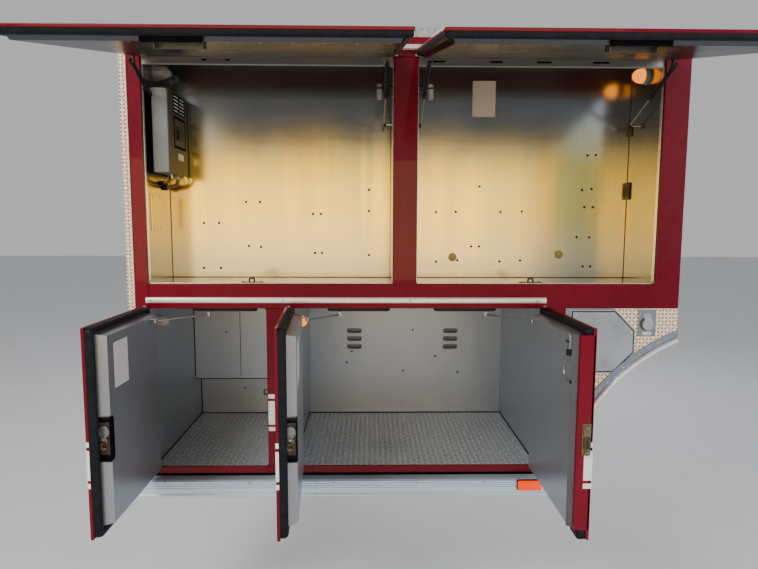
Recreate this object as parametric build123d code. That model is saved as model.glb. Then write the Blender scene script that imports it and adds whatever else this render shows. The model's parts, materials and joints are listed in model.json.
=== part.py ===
from build123d import *
import math
import os

os.makedirs("parts", exist_ok=True)

# Side locker body of a fire engine, in millimetres. X runs to the vehicle's rear, Y inboard, Z up.
# The origin is the middle of the bolt pattern on the inboard face of the mounting rail.

# Face frame, along X from the front post and up Z from the foot of the rub rail.
mount_to_front = 937
mount_to_foot = 330
front_post_width = 59
upper_front_width = 1083
upper_post_width = 106
upper_rear_width = 1073
rear_post_width = 112
lower_front_width = 518
lower_post_width = 112
lower_stile_width = 92
fender_width = 530
rub_rail_height = 79
rub_rail_gap = 16
sill_height = 33
lower_height = 730
mid_rail_height = 110
upper_height = 978
header_height = 82
face_plate = 12
frame_depth = 40
corner_radius = 12

# Lockers and the mounting rail behind them.
sheet = 3
upper_depth = 330
lower_depth = 755
front_recess_depth = 649
front_recess_height = 244
tread = 4
rail_depth = 82
rail_height = 120
rail_length = 1500
rail_wall = 8
rail_flange = 8
bolt_count = 6
bolt_pitch = 260
bolt_radius = 9
bearer_width = 70
bearer_inset = 120

# Top deck, trims, rub rail, fender and arch.
deck_plate = 5
deck_edge_height = 40
cut_over = 1
drip_rail_height = 17
drip_rail_proud = 24
drip_rail_drop = 53
drip_rail_wall = 5
header_strip_height = 36
header_strip_lap = 6
header_strip_thick = 5
drip_strip_height = 26
drip_strip_proud = 10
drip_strip_lift = 24
drip_strip_overhang = 20
rub_rail_proud = 42
rub_rail_rib = 6
rub_rail_ribs = 5
rub_rail_slope = 1.6
rub_rail_groove = 3.2
marker_width = 112
marker_height = 49
marker_proud = 22
marker_inset = 4
marker_before_jamb = 100
trim_width = 32
trim_gap = 3
fender_thick = 5
arch_radius = 889
arch_lap = 2
arch_clearance = 8
arch_band = 41
arch_proud = 16
arch_liner_depth = 560
arch_liner_sheet = 4
access_left = 20
access_width = 309
access_height = 276
access_drop = 11
access_corner = 88
access_thick = 4
catch_gap = 21
catch_width = 80
catch_height = 122
catch_drop = 4
catch_thick = 6

# Side doors, hinged on upright pins; depths are measured inward from the face of the frame.
seal_gap = 5
side_skin = 12
side_seal = 29
side_pan_in = 28
side_axis_out = 32
side_hinge_inset = 6
side_lap = 18
side_top_lap = 16
side_foot_lap = 28
side_angles = {"front": 90, "mid": 86, "rear": 90}
leaf_gap = 16
pan_clearance = 8
pan_hinge_room = 4
pan_bevel = 12
seal_inset = 2
channel_width = 22
channel_depth = 45
knuckle_radius = 5
hinge_web = 3
hinge_side_gap = 9

# Lift doors, hinged along their top edge.
lift_angle = 76.8
lift_skin = 10
lift_seal = 18
lift_pan_in = 6
lift_axis_out = 9
lift_axis_rise = 5
lift_side_lap = 15
lift_foot_lap = 18
lift_skin_drop = 5
lift_seal_drop = 10
lift_pan_drop = 15

# Slam latches, strikers and their pockets.
latch_height = 165
latch_width = 28
latch_wall = 3
latch_floor = 12
latch_recess = 1
latch_bolt = 66
lift_latch_depth = 48
side_latch_level = 336
lift_latch_places = {"front": 450, "rear": 522}
handle_plate = 4
handle_width = 112
handle_height = 132
handle_inset = 95
striker_base = 106
striker_base_depth = 24
striker_base_thick = 5
striker_loop = 12
striker_rise = 26
striker_behind = 36
edge_striker_height = 116
edge_striker_width = 34
edge_striker_thick = 8
edge_striker_level = 354
edge_striker_in = 4

# Gas struts of the lift doors.
strut_insets = {"front": (18, 32), "rear": (32, 32)}
strut_door_reach = 140
strut_door_rise = 36
strut_post_depth = 260
strut_post_level = 738
tube_radius = 9
tube_neck = 15
neck_radius = 4
tube_bore = 4.6
tube_end_room = 2.5
tube_length = 225
rod_radius = 4
rod_length = 236
eye_radius = 9
eye_thick = 10
pin_radius = 3
pin_clearance = 0.5
lug_gap = 5
lug_thick = 4
stud_radius = 6
stud_gap = 4

# Door checks of the side doors: a rod from a pin on the door to a slider under a track.
track_height = 18
track_width = 18
track_axis_depth = 44
check_rod_radius = 4
slider_half = 7
slider_gap = 3
check_drop = 34
check_lug_gap = 2
check_pin_stand = 24
check_table = [
    # door, pin reach from hinge, track start from hinge, track length, rest slider from hinge
    ("front", 108, 205, 264, 258),
    ("mid", 76, 182, 258, 222),
    ("rear", 100, 210, 259, 248),
]

# Small fittings inside the upper lockers.
box_width = 60
box_stand_off = 32
box_stay = 24
box_stay_levels = (24, 125)
box_depth = 250
box_height = 363
box_from_face = 60
box_level = 492
box_cover = 4
lamp_radius = 38
lamp_stand = 30
lamp_crown = 4
upper_lamp_depth = 175
upper_lamp_level = 950
lower_lamp_radius = 32
lower_lamp_depth = 92
lower_lamp_drop = 73
fitting_radius = 14
fitting_height = 66
fitting_depth = 62
fitting_level = 846
fitting_inset = 60
fitting_arm = 4
fitting_arm_height = 10
fitting_arm_drop = 2

# Planes and levels worked out from the sizes above.
face_y = -(lower_depth + sheet + rail_depth)
left_x = -mount_to_front
foot_z = -mount_to_foot
rail_top_z = foot_z + rub_rail_height
frame_foot_z = rail_top_z + rub_rail_gap
lower_z = frame_foot_z + sill_height
lower_top_z = lower_z + lower_height
upper_z = lower_top_z + mid_rail_height
upper_top_z = upper_z + upper_height
frame_top_z = upper_top_z + header_height
deck_top_z = frame_top_z + deck_edge_height

upper_front_x = left_x + front_post_width
upper_front_end = upper_front_x + upper_front_width
upper_rear_x = upper_front_end + upper_post_width
upper_rear_end = upper_rear_x + upper_rear_width
right_x = upper_rear_end + rear_post_width
lower_front_x = upper_front_x
lower_front_end = lower_front_x + lower_front_width
lower_rear_x = lower_front_end + lower_post_width
stile_end = right_x - fender_width
lower_rear_end = stile_end - lower_stile_width

side_axis_y = face_y - side_axis_out
lift_axis_y = face_y - lift_axis_out
lift_axis_z = upper_top_z + lift_axis_rise


def block(x, y, z):
    """Box between two corners, given as a (low, high) pair along each axis."""
    size = [high - low for low, high in (x, y, z)]
    middle = [(low + high) / 2 for low, high in (x, y, z)]
    return Pos(*middle) * Box(*size)


def rod_between(start, end, radius):
    """Round bar from one point to another."""
    start, end = Vector(*start), Vector(*end)
    along = end - start
    return Plane(origin=start, z_dir=along) * Cylinder(
        radius, along.length, align=(Align.CENTER, Align.CENTER, Align.MIN))


def extrude_x(points, x):
    """Outline of (y, z) points carried along X between two places."""
    face = Plane.YZ.offset(x[0]) * make_face(Polyline(*points, close=True))
    return extrude(face, amount=x[1] - x[0])


def union(shapes):
    """Join shapes into one piece."""
    joined = shapes[0]
    for shape in shapes[1:]:
        joined = joined + shape
    return joined


def save(name, *shapes):
    """Write one sub-part: separate solids in one node share a compound."""
    solids = [solid for shape in shapes for solid in shape.solids()]
    export_step(solids[0] if len(solids) == 1 else Compound(children=solids), f"parts/{name}.step")


# Face frame with its openings, ribbed behind between the lockers.
openings = {
    "upper_front": ((upper_front_x, upper_front_end), (upper_z, upper_top_z)),
    "upper_rear": ((upper_rear_x, upper_rear_end), (upper_z, upper_top_z)),
    "lower_front": ((lower_front_x, lower_front_end), (lower_z, lower_top_z)),
    "lower_rear": ((lower_rear_x, lower_rear_end), (lower_z, lower_top_z)),
}
locker_roof_z = frame_top_z - sheet


def locker_inside(name):
    """Inner limits of a locker along X and Z: the upper ones rise behind the header."""
    (x0, x1), (z0, z1) = openings[name]
    top = locker_roof_z if name.startswith("upper") else z1
    floor = z0 if name.startswith("upper") else z0 - tread
    return (x0, x1), (floor, top)


def locker_shell(name, depth):
    """Five-sided sheet box, open to the front, behind the face plate."""
    (x0, x1), (z0, z1) = locker_inside(name)
    front_y, inner_y = face_y + face_plate, face_y + depth
    outer = block((x0 - sheet, x1 + sheet), (front_y, inner_y + sheet), (z0 - sheet, z1 + sheet))
    return outer - block((x0, x1), (front_y - sheet, inner_y), (z0, z1)), outer


def face_frame(locker_outers):
    depth = (face_y, face_y + frame_depth)
    frame = block((left_x, right_x), depth, (lower_top_z, frame_top_z))
    frame += block((left_x, stile_end), depth, (frame_foot_z, lower_top_z))
    for outer in locker_outers:
        frame -= outer
    for (x0, x1), (z0, z1) in openings.values():
        hole = block((x0, x1), (face_y - sheet, face_y + frame_depth + sheet), (z0, z1))
        frame -= fillet(hole.edges().filter_by(Axis.Y), corner_radius)
    return frame


upper_front_locker, upper_front_outer = locker_shell("upper_front", upper_depth)
upper_rear_locker, upper_rear_outer = locker_shell("upper_rear", upper_depth)
lower_rear_locker, lower_rear_outer = locker_shell("lower_rear", lower_depth)
lower_front_locker, lower_front_outer = locker_shell("lower_front", lower_depth)

# The front lower locker's back steps in above a ledge.
(front_x0, front_x1), front_z = locker_inside("lower_front")
step_y = face_y + front_recess_depth
ledge_z = lower_z + front_recess_height
back_y = face_y + lower_depth
lower_front_locker += block((front_x0, front_x1), (step_y, step_y + sheet), (ledge_z, front_z[1]))
lower_front_locker += block((front_x0, front_x1), (step_y, back_y), (ledge_z, ledge_z + sheet))


def strut_studs(name):
    """Short studs on a locker's end walls that carry the rod ends of the struts."""
    x0, x1 = openings["upper_" + name][0]
    low, high = [inset - eye_thick / 2 - stud_gap for inset in strut_insets[name]]
    y, z = face_y + strut_post_depth, upper_z + strut_post_level
    return [rod_between((x0, y, z), (x0 + low, y, z), stud_radius),
            rod_between((x1, y, z), (x1 - high, y, z), stud_radius)]


upper_front_locker = union([upper_front_locker] + strut_studs("front"))
upper_rear_locker = union([upper_rear_locker] + strut_studs("rear"))

save("face_frame", face_frame([upper_front_outer, upper_rear_outer, lower_front_outer, lower_rear_outer]))
save("upper_front_locker", upper_front_locker)
save("upper_rear_locker", upper_rear_locker)
save("lower_front_locker", lower_front_locker)
save("lower_rear_locker", lower_rear_locker)


def floor_plate(name, depth):
    x0, x1 = locker_inside(name)[0]
    return block((x0, x1), (face_y + face_plate, face_y + depth), (lower_z - tread, lower_z))


save("lower_floor_plates", floor_plate("lower_front", lower_depth), floor_plate("lower_rear", lower_depth))

# Bearers between the lower lockers' roofs and the upper lockers' floors.
bearer_z = (lower_top_z + sheet, upper_z - sheet)
bearer_y = (face_y + frame_depth, face_y + upper_depth)
bearer_centres = [lower_front_x + bearer_inset, lower_front_end - bearer_inset,
                  lower_rear_x + bearer_inset, lower_rear_end - bearer_inset]
save("cross_bearers", *[block((x - bearer_width / 2, x + bearer_width / 2), bearer_y, bearer_z)
                        for x in bearer_centres])

# Deck over the upper lockers: a folded plate with a deep front edge and a rear upstand.
deck_back_y = face_y + upper_depth + sheet
deck_profile = [
    (face_y, frame_top_z), (face_y, deck_top_z),
    (deck_back_y + deck_plate, deck_top_z), (deck_back_y + deck_plate, upper_top_z),
    (deck_back_y, upper_top_z), (deck_back_y, deck_top_z - deck_plate),
    (face_y + deck_plate, deck_top_z - deck_plate), (face_y + deck_plate, frame_top_z),
]
save("deck_plate", extrude_x(deck_profile, (left_x, right_x)))

# Gutter above the lift doors: a lipped angle.
gutter_top = frame_top_z - drip_rail_drop + drip_rail_height
gutter_foot = frame_top_z - drip_rail_drop
gutter_profile = [
    (face_y, gutter_foot), (face_y, gutter_top), (face_y - drip_rail_proud, gutter_top),
    (face_y - drip_rail_proud, gutter_foot), (face_y - drip_rail_proud + drip_rail_wall, gutter_foot),
    (face_y - drip_rail_proud + drip_rail_wall, gutter_top - drip_rail_wall),
    (face_y - drip_rail_wall, gutter_top - drip_rail_wall), (face_y - drip_rail_wall, gutter_foot),
]
save("drip_rail", extrude_x(gutter_profile, (left_x, right_x)))


def header_strip(name):
    """Bright strip hung behind the top edge of an upper opening."""
    x0, x1 = openings[name][0]
    y = (face_y + face_plate, face_y + face_plate + header_strip_thick)
    return block((x0, x1), y, (upper_top_z - header_strip_height, upper_top_z + header_strip_lap))


save("header_strips", header_strip("upper_front"), header_strip("upper_rear"))

# Drip strip across the mid rail, over the side doors.
strip_z = lower_top_z + drip_strip_lift
save("drip_strip", block(
    (lower_front_x - drip_strip_overhang / 2, lower_rear_end + drip_strip_overhang),
    (face_y - drip_strip_proud, face_y), (strip_z, strip_z + drip_strip_height)))

# Rub rail: a ribbed extrusion with a flange up behind the frame's foot.
rib_pitch = rub_rail_height / rub_rail_ribs
rail_front = face_y - rub_rail_proud
rail_points = [(face_y + frame_depth, foot_z), (rail_front, foot_z)]
for rib in range(rub_rail_ribs):
    low = foot_z + rib * rib_pitch
    groove_z = low + rib_pitch - rub_rail_slope - rub_rail_groove
    rail_points += [(rail_front, groove_z - rub_rail_slope), (rail_front + rub_rail_rib, groove_z),
                    (rail_front + rub_rail_rib, groove_z + rub_rail_groove), (rail_front, low + rib_pitch)]
rail_points[-1] = (rail_front + rub_rail_rib, rail_top_z)
rail_points += [(face_y + face_plate, rail_top_z), (face_y + face_plate, frame_foot_z),
                (face_y + frame_depth, frame_foot_z)]
save("rub_rail", extrude_x(rail_points, (left_x, stile_end)))

# Marker lamp on the rub rail.
marker_end = lower_rear_end - marker_before_jamb + marker_width
marker = block((marker_end - marker_width, marker_end), (rail_front - marker_proud, rail_front),
               (rail_top_z - marker_height, rail_top_z))
marker = fillet(marker.edges().group_by(Axis.Y)[0], marker_inset)
save("marker_lamp", marker)

# Upright trim beside the front post.
save("front_trim", block((left_x - trim_width, left_x), (face_y - trim_gap, face_y + frame_depth),
                         (frame_foot_z, frame_top_z)))

# The access panel with cut corners on the fender, and the catch beside it.
access_x = stile_end + access_left
access_end = access_x + access_width
access_top = lower_top_z - access_drop
access_foot = access_top - access_height
access_outline = [
    (access_x, access_top), (access_end - access_corner, access_top),
    (access_end, access_top - access_corner), (access_end, access_foot + access_corner),
    (access_end - access_corner, access_foot), (access_x + access_corner, access_foot),
    (access_x, access_foot + access_corner),
]
access_face = Plane.XZ.offset(-face_y) * make_face(Polyline(*access_outline, close=True))
save("access_panel", extrude(access_face, amount=access_thick))

catch_x = access_end + catch_gap
catch_top = lower_top_z - catch_drop
save("fender_catch", block((catch_x, catch_x + catch_width), (face_y - catch_thick, face_y),
                           (catch_top - catch_height, catch_top)))

# Wheel centre: the arch starts at the foot of the stile and passes the access panel's cut corner.
arch_foot = (stile_end - arch_lap, frame_foot_z)
arch_pass = (access_end - access_corner + arch_clearance, access_foot - arch_clearance)
chord = math.dist(arch_foot, arch_pass)
chord_x, chord_z = arch_pass[0] - arch_foot[0], arch_pass[1] - arch_foot[1]
sagitta_leg = math.sqrt(arch_radius ** 2 - (chord / 2) ** 2)
wheel_x = (arch_foot[0] + arch_pass[0]) / 2 + sagitta_leg * chord_z / chord
axle_z = (arch_foot[1] + arch_pass[1]) / 2 - sagitta_leg * chord_x / chord


# Fender panel over the wheel, cut to the arch, with its liner and band.
def arch_ring(outer, inner, y):
    """Part of a ring round the wheel between two depths, kept to this body."""
    centre = Pos(wheel_x, (y[0] + y[1]) / 2, axle_z) * Rot(90, 0, 0)
    ring = centre * Cylinder(outer, y[1] - y[0])
    ring -= centre * Cylinder(inner, 2 * (y[1] - y[0]))
    keep_y = (y[0] - cut_over, y[1] + cut_over)
    return ring & block((stile_end, right_x), keep_y, (frame_foot_z, lower_top_z))


wheel_bore = Pos(wheel_x, face_y, axle_z) * Rot(90, 0, 0) * Cylinder(arch_radius, 4 * frame_depth)
fender_y = (face_y, face_y + fender_thick)
save("fender_panel", block((stile_end, right_x), fender_y, (frame_foot_z, lower_top_z)) - wheel_bore)
save("arch_moulding", arch_ring(arch_radius, arch_radius - arch_band,
                                (face_y - arch_proud, face_y + fender_thick)))
save("arch_liner", arch_ring(arch_radius + arch_liner_sheet, arch_radius,
                             (face_y + fender_thick, face_y + arch_liner_depth)))

# Mounting rail: a channel behind the lower lockers, drilled for the chassis bolts.
rail = block((-rail_length / 2, rail_length / 2), (-rail_depth, 0), (-rail_height / 2, rail_height / 2))
rail -= block((-rail_length, rail_length), (-rail_depth - rail_wall, -rail_wall),
              (-rail_height / 2 + rail_flange, rail_height / 2 - rail_flange))
for index in range(bolt_count):
    x = (index - (bolt_count - 1) / 2) * bolt_pitch
    rail -= Pos(x, -rail_wall / 2, 0) * Rot(90, 0, 0) * Cylinder(bolt_radius, 4 * rail_wall)
save("mounting_rail", rail)


def ring(x, z, hole_x, hole_z, y):
    """Flat frame between two rectangles, as deep as y."""
    return block(x, y, z) - block(hole_x, (y[0] - cut_over, y[1] + cut_over), hole_z)


def bevelled_pan(x, z, y):
    """Door pan standing from y[0] to y[1] with its sides sloping in towards the locker."""
    width, height, depth = x[1] - x[0], z[1] - z[0], y[1] - y[0]
    base = Plane(origin=((x[0] + x[1]) / 2, y[0], (z[0] + z[1]) / 2), x_dir=(1, 0, 0), z_dir=(0, 1, 0))
    outline = base * Rectangle(width, height)
    return extrude(outline, amount=depth, taper=math.degrees(math.atan2(pan_bevel, depth)))


def opened(shape, angle, axis):
    """Turn a piece from the closed door about its hinge to where it rests."""
    return shape.rotate(axis, angle)


def side_latch(edge_x, inward, pan_y, level):
    """Latch tray at the free edge of a side door; inward is the way back to the hinge."""
    x = sorted((edge_x, edge_x + inward * latch_width))
    z = (level - latch_height / 2, level + latch_height / 2)
    inner_x = sorted((edge_x - inward, edge_x + inward * (latch_width - latch_wall)))
    inner_z = (z[0] + latch_wall, z[1] - latch_wall)
    tray = block(x, pan_y, z) - block(inner_x, (pan_y[0] + latch_wall, pan_y[1] + cut_over), inner_z)
    bolt_x = sorted((edge_x + inward * (latch_width - latch_wall), edge_x + inward * latch_wall))
    bolt = block(bolt_x, (pan_y[0] + latch_wall, pan_y[1] - 2 * latch_wall),
                 (level - latch_bolt / 2, level + latch_bolt / 2))
    return tray + bolt


side_latch_z = lower_z + side_latch_level
pan_y = (face_y - seal_gap - side_seal, face_y + side_pan_in)
skin_y = (pan_y[0] - side_skin, pan_y[0])
seal_y = (pan_y[0], face_y - seal_gap)
skin_z = (lower_z - side_foot_lap, lower_top_z + side_top_lap)
pan_z = (lower_z + pan_clearance, lower_top_z - pan_clearance)
check_z = lower_top_z - check_drop

side_hinges = {
    "front": lower_front_x - side_hinge_inset,
    "mid": lower_rear_x - side_hinge_inset,
    "rear": lower_rear_end + side_hinge_inset,
}
leaf_width = (side_hinges["rear"] - side_hinges["mid"] - leaf_gap) / 2
side_widths = {
    "front": lower_front_end + side_lap - side_hinges["front"],
    "mid": leaf_width,
    "rear": leaf_width,
}


def side_door(name):
    """Pieces of one side door, made closed and then turned open about its hinge."""
    hinge_x = side_hinges[name]
    way = -1 if name == "rear" else 1
    axis = Axis((hinge_x, side_axis_y, 0), (0, 0, 1))
    turn = -way * side_angles[name]
    free_x = hinge_x + way * side_widths[name]

    def span(near, far):
        return tuple(sorted((hinge_x + way * near, hinge_x + way * far)))

    width = side_widths[name]
    pan_near = side_hinge_inset + pan_clearance + pan_hinge_room
    has_channel = name == "rear"
    pan_far = width - (channel_width if has_channel else side_lap + pan_clearance)
    skin = block(span(hinge_side_gap, width), skin_y, skin_z)
    if has_channel:
        channel_x = span(width - channel_width, width)
        skin = skin + block(channel_x, seal_y, skin_z)
        skin = skin + block(channel_x, (skin_y[1], skin_y[1] + channel_depth), pan_z)
    seal_far = width - channel_width if has_channel else width - seal_inset
    seal = ring(span(hinge_side_gap, seal_far), (skin_z[0] + seal_inset, skin_z[1] - seal_inset),
                span(pan_near, pan_far), pan_z, seal_y)
    if has_channel:
        seal = seal - block(span(pan_far, width), seal_y, skin_z)
    pan = bevelled_pan(span(pan_near, pan_far), pan_z, pan_y)
    tray_z = (side_latch_z - latch_height / 2, side_latch_z + latch_height / 2)
    if not has_channel:
        notch_x = tuple(sorted((hinge_x + way * pan_far, hinge_x + way * (pan_far - latch_width))))
        notch_y = (pan_y[0] + latch_floor, pan_y[1] + cut_over)
        pan = pan - block(notch_x, notch_y, tray_z)
        tray_y = (notch_y[0], pan_y[1] - latch_recess)
        latch = side_latch(hinge_x + way * pan_far, -way, tray_y, side_latch_z)
    else:
        latch = block(span(width, width + edge_striker_thick),
                      (skin_y[1] + edge_striker_in, skin_y[1] + edge_striker_in + edge_striker_width),
                      (lower_z + edge_striker_level - edge_striker_height / 2,
                       lower_z + edge_striker_level + edge_striker_height / 2))
    handle = block(span(width - handle_inset - handle_width / 2, width - handle_inset + handle_width / 2),
                   (skin_y[0] - handle_plate, skin_y[0]),
                   (side_latch_z - handle_height / 2, side_latch_z + handle_height / 2))

    reach = [row[1] for row in check_table if row[0] == name][0]
    lug_z = check_z + eye_thick / 2 + check_lug_gap
    lug_x = span(reach - eye_radius, reach + eye_radius)
    pin_y = pan_y[1] + check_pin_stand
    lug = block(lug_x, (pan_y[1] - cut_over, pin_y + eye_radius), (lug_z, lug_z + lug_thick))
    pin_foot = check_z - eye_thick / 2 - check_lug_gap
    pin_x = hinge_x + way * reach
    pin = rod_between((pin_x, pin_y, lug_z + lug_thick), (pin_x, pin_y, pin_foot), pin_radius)
    pan = pan + lug + pin

    pieces = {"skin": skin, "seal": seal, "pan": pan, "latch": latch}
    for key, shape in pieces.items():
        extra = [opened(handle, turn, axis)] if key == "latch" and name != "mid" else []
        save(f"side_{name}_door_{key}", opened(shape, turn, axis), *extra)


for door_name in side_hinges:
    side_door(door_name)

# Upright hinge pins with a web back to the face frame.
hinge_posts = []
for hinge_x in side_hinges.values():
    post = rod_between((hinge_x, side_axis_y, skin_z[0]), (hinge_x, side_axis_y, skin_z[1]), knuckle_radius)
    hinge_posts.append(post + block((hinge_x - hinge_web / 2, hinge_x + hinge_web / 2),
                                    (side_axis_y, face_y), (lower_z, lower_top_z)))
save("side_hinges", *hinge_posts)


# Check tracks under the lintel, and the rods from each door's pin to its slider.
def turned(x, y, centre, degrees):
    """Point turned about an upright axis."""
    angle = math.radians(degrees)
    dx, dy = x - centre[0], y - centre[1]
    return (centre[0] + dx * math.cos(angle) - dy * math.sin(angle),
            centre[1] + dx * math.sin(angle) + dy * math.cos(angle))


track_y = face_y + track_axis_depth
track_z = (lower_top_z - track_height, lower_top_z)
tracks = []
for door_name, reach, start, length, slider in check_table:
    hinge_x = side_hinges[door_name]
    way = -1 if door_name == "rear" else 1
    x = sorted((hinge_x + way * start, hinge_x + way * (start + length)))
    tracks.append(block(x, (track_y - track_width / 2, track_y + track_width / 2), track_z))
    pin = turned(hinge_x + way * reach, pan_y[1] + check_pin_stand, (hinge_x, side_axis_y),
                 -way * side_angles[door_name])
    end = (hinge_x + way * slider, track_y)
    along = Vector(end[0] - pin[0], end[1] - pin[1], 0).normalized()
    shank_start = Vector(pin[0], pin[1], check_z) + along * (eye_radius - cut_over)
    rod = rod_between(tuple(shank_start), (end[0], end[1], check_z), check_rod_radius)
    rod = rod + rod_between((*pin, check_z - eye_thick / 2), (*pin, check_z + eye_thick / 2), eye_radius)
    rod -= rod_between((*pin, check_z - eye_thick), (*pin, check_z + eye_thick), pin_radius + pin_clearance)
    slider_x, slider_y = [(place - slider_half, place + slider_half) for place in end]
    slider = block(slider_x, slider_y, (check_z - slider_half, track_z[0] - slider_gap))
    save(f"check_rod_{door_name}", rod + slider)
save("check_tracks", *tracks)


# Lift doors, their struts and the hinge along the header.
lift_pan_y = (face_y - seal_gap - lift_seal, face_y + lift_pan_in)
lift_skin_y = (lift_pan_y[0] - lift_skin, lift_pan_y[0])
lift_seal_y = (lift_pan_y[0], face_y - seal_gap)
lift_turn = -lift_angle


def strut_places(name):
    """Planes of a lift door's two struts along X."""
    x0, x1 = openings["upper_" + name][0]
    return x0 + strut_insets[name][0], x1 - strut_insets[name][1]


def lift_door(name):
    """Pieces of one lift door, made closed and then turned up about its hinge."""
    (x0, x1), (z0, z1) = openings["upper_" + name]
    axis = Axis((0, lift_axis_y, lift_axis_z), (1, 0, 0))
    door_x = (x0 - lift_side_lap, x1 + lift_side_lap)
    door_z = (z0 - lift_foot_lap, lift_axis_z - lift_skin_drop)
    pan_x = (x0 + pan_clearance, x1 - pan_clearance)
    pan_z = (z0 + pan_clearance, lift_axis_z - lift_pan_drop)
    skin = block(door_x, lift_skin_y, door_z)
    seal = ring((door_x[0] + seal_inset, door_x[1] - seal_inset),
                (door_z[0] + seal_inset, lift_axis_z - lift_seal_drop),
                pan_x, pan_z, lift_seal_y)
    pan = bevelled_pan(pan_x, pan_z, lift_pan_y)
    latch_x = x0 + lift_latch_places[name]
    x = (latch_x - latch_height / 2, latch_x + latch_height / 2)
    z = (pan_z[0], pan_z[0] + lift_latch_depth)
    y = (lift_pan_y[0] + latch_wall, lift_pan_y[1] + cut_over)
    pan = pan - block(x, y, z)
    tray = block(x, (y[0], lift_pan_y[1] - latch_recess), z)
    tray -= block((x[0] + latch_wall, x[1] - latch_wall), (y[0] + latch_wall, y[1]),
                  (z[0] - cut_over, z[1] - latch_wall))
    bolt = block((latch_x - latch_bolt / 2, latch_x + latch_bolt / 2),
                 (y[0] + latch_wall, lift_pan_y[1] - latch_wall), (z[0] + latch_wall, z[1] - latch_wall))
    handle_z = door_z[0] + handle_inset
    handle = block((latch_x - handle_height / 2, latch_x + handle_height / 2),
                   (lift_skin_y[0] - handle_plate, lift_skin_y[0]),
                   (handle_z - handle_width / 2, handle_z + handle_width / 2))
    pivot_y = lift_axis_y + strut_door_rise
    pivot_z = lift_axis_z - strut_door_reach
    for strut_x, side in zip(strut_places(name), (1, -1)):
        lug_near = eye_thick / 2 + lug_gap
        lug_x = sorted((strut_x + side * lug_near, strut_x + side * (lug_near + lug_thick)))
        pan = pan + block(lug_x, (lift_pan_y[1] - cut_over, pivot_y + eye_radius),
                          (pivot_z - eye_radius, pivot_z + eye_radius))
        pan = pan + rod_between((strut_x + side * (lug_near + lug_thick), pivot_y, pivot_z),
                                (strut_x - side * eye_thick / 2, pivot_y, pivot_z), pin_radius)
    pieces = {"skin": (skin,), "seal": (seal,), "pan": (pan,), "latch": (tray + bolt, handle)}
    for key, shapes in pieces.items():
        save(f"lift_{name}_door_{key}", *[opened(shape, lift_turn, axis) for shape in shapes])


def turned_up(y, z, degrees):
    """Point turned about the lift hinge."""
    angle = math.radians(degrees)
    dy, dz = y - lift_axis_y, z - lift_axis_z
    return (lift_axis_y + dy * math.cos(angle) - dz * math.sin(angle),
            lift_axis_z + dy * math.sin(angle) + dz * math.cos(angle))


door_pivot = turned_up(lift_axis_y + strut_door_rise, lift_axis_z - strut_door_reach, lift_turn)
post_pivot = (face_y + strut_post_depth, upper_z + strut_post_level)
strut_span = math.hypot(post_pivot[0] - door_pivot[0], post_pivot[1] - door_pivot[1])
strut_way = ((post_pivot[0] - door_pivot[0]) / strut_span, (post_pivot[1] - door_pivot[1]) / strut_span)
closed_pivot = (lift_axis_y + strut_door_rise, lift_axis_z - strut_door_reach)
closed_span = math.hypot(post_pivot[0] - closed_pivot[0], post_pivot[1] - closed_pivot[1])


def strut_point(x, distance):
    """Point along a resting strut, measured from its door end."""
    return (x, door_pivot[0] + strut_way[0] * distance, door_pivot[1] + strut_way[1] * distance)


def eye(x, distance):
    """Eye at an end of a strut, its hole along X."""
    centre = strut_point(x, distance)
    low, high = (x - eye_thick / 2, *centre[1:]), (x + eye_thick / 2, *centre[1:])
    return rod_between(low, high, eye_radius), rod_between(
        (x - eye_thick, *centre[1:]), (x + eye_thick, *centre[1:]), pin_radius + pin_clearance)


def strut_tube(x):
    ring_solid, hole = eye(x, 0)
    neck = rod_between(strut_point(x, eye_radius - cut_over), strut_point(x, tube_neck + cut_over),
                       neck_radius)
    tube = rod_between(strut_point(x, tube_neck), strut_point(x, tube_length), tube_radius)
    bore = rod_between(strut_point(x, closed_span - rod_length - tube_end_room),
                       strut_point(x, tube_length + cut_over), tube_bore)
    return (neck + tube + ring_solid) - hole - bore


def strut_rod(x):
    ring_solid, hole = eye(x, strut_span)
    shank = rod_between(strut_point(x, strut_span - rod_length),
                        strut_point(x, strut_span - eye_radius + cut_over), rod_radius)
    return shank + ring_solid - hole


for door_name in ("front", "rear"):
    lift_door(door_name)
    save(f"strut_tubes_{door_name}", *[strut_tube(x) for x in strut_places(door_name)])
    save(f"strut_rods_{door_name}", *[strut_rod(x) for x in strut_places(door_name)])

lift_hinges = []
for door_name in ("front", "rear"):
    x0, x1 = openings["upper_" + door_name][0]
    x = (x0 - lift_side_lap, x1 + lift_side_lap)
    knuckle = rod_between((x[0], lift_axis_y, lift_axis_z), (x[1], lift_axis_y, lift_axis_z),
                          knuckle_radius)
    lift_hinges.append(knuckle + block(x, (lift_axis_y, face_y),
                                       (lift_axis_z - hinge_web / 2, lift_axis_z + hinge_web / 2)))
save("lift_hinges", *lift_hinges)

# Strikers behind the reach of the closed pans.
strikers = []
striker_y = (face_y + striker_behind, face_y + striker_behind + striker_base_depth)
for door_name in ("front", "rear"):
    x = openings["upper_" + door_name][0][0] + lift_latch_places[door_name]
    base = block((x - striker_base / 2, x + striker_base / 2), striker_y,
                 (upper_z, upper_z + striker_base_thick))
    loop = block((x - striker_loop, x + striker_loop),
                 (striker_y[0], striker_y[0] + striker_loop), (upper_z, upper_z + striker_rise))
    strikers.append(base + loop)
jamb = block((lower_front_end - striker_base_thick, lower_front_end), striker_y,
             (side_latch_z - striker_base / 2, side_latch_z + striker_base / 2))
jamb_loop = block((lower_front_end - striker_rise, lower_front_end),
                  (striker_y[0], striker_y[0] + striker_loop),
                  (side_latch_z - striker_loop, side_latch_z + striker_loop))
strikers.append(jamb + jamb_loop)
save("strikers", *strikers)

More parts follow.
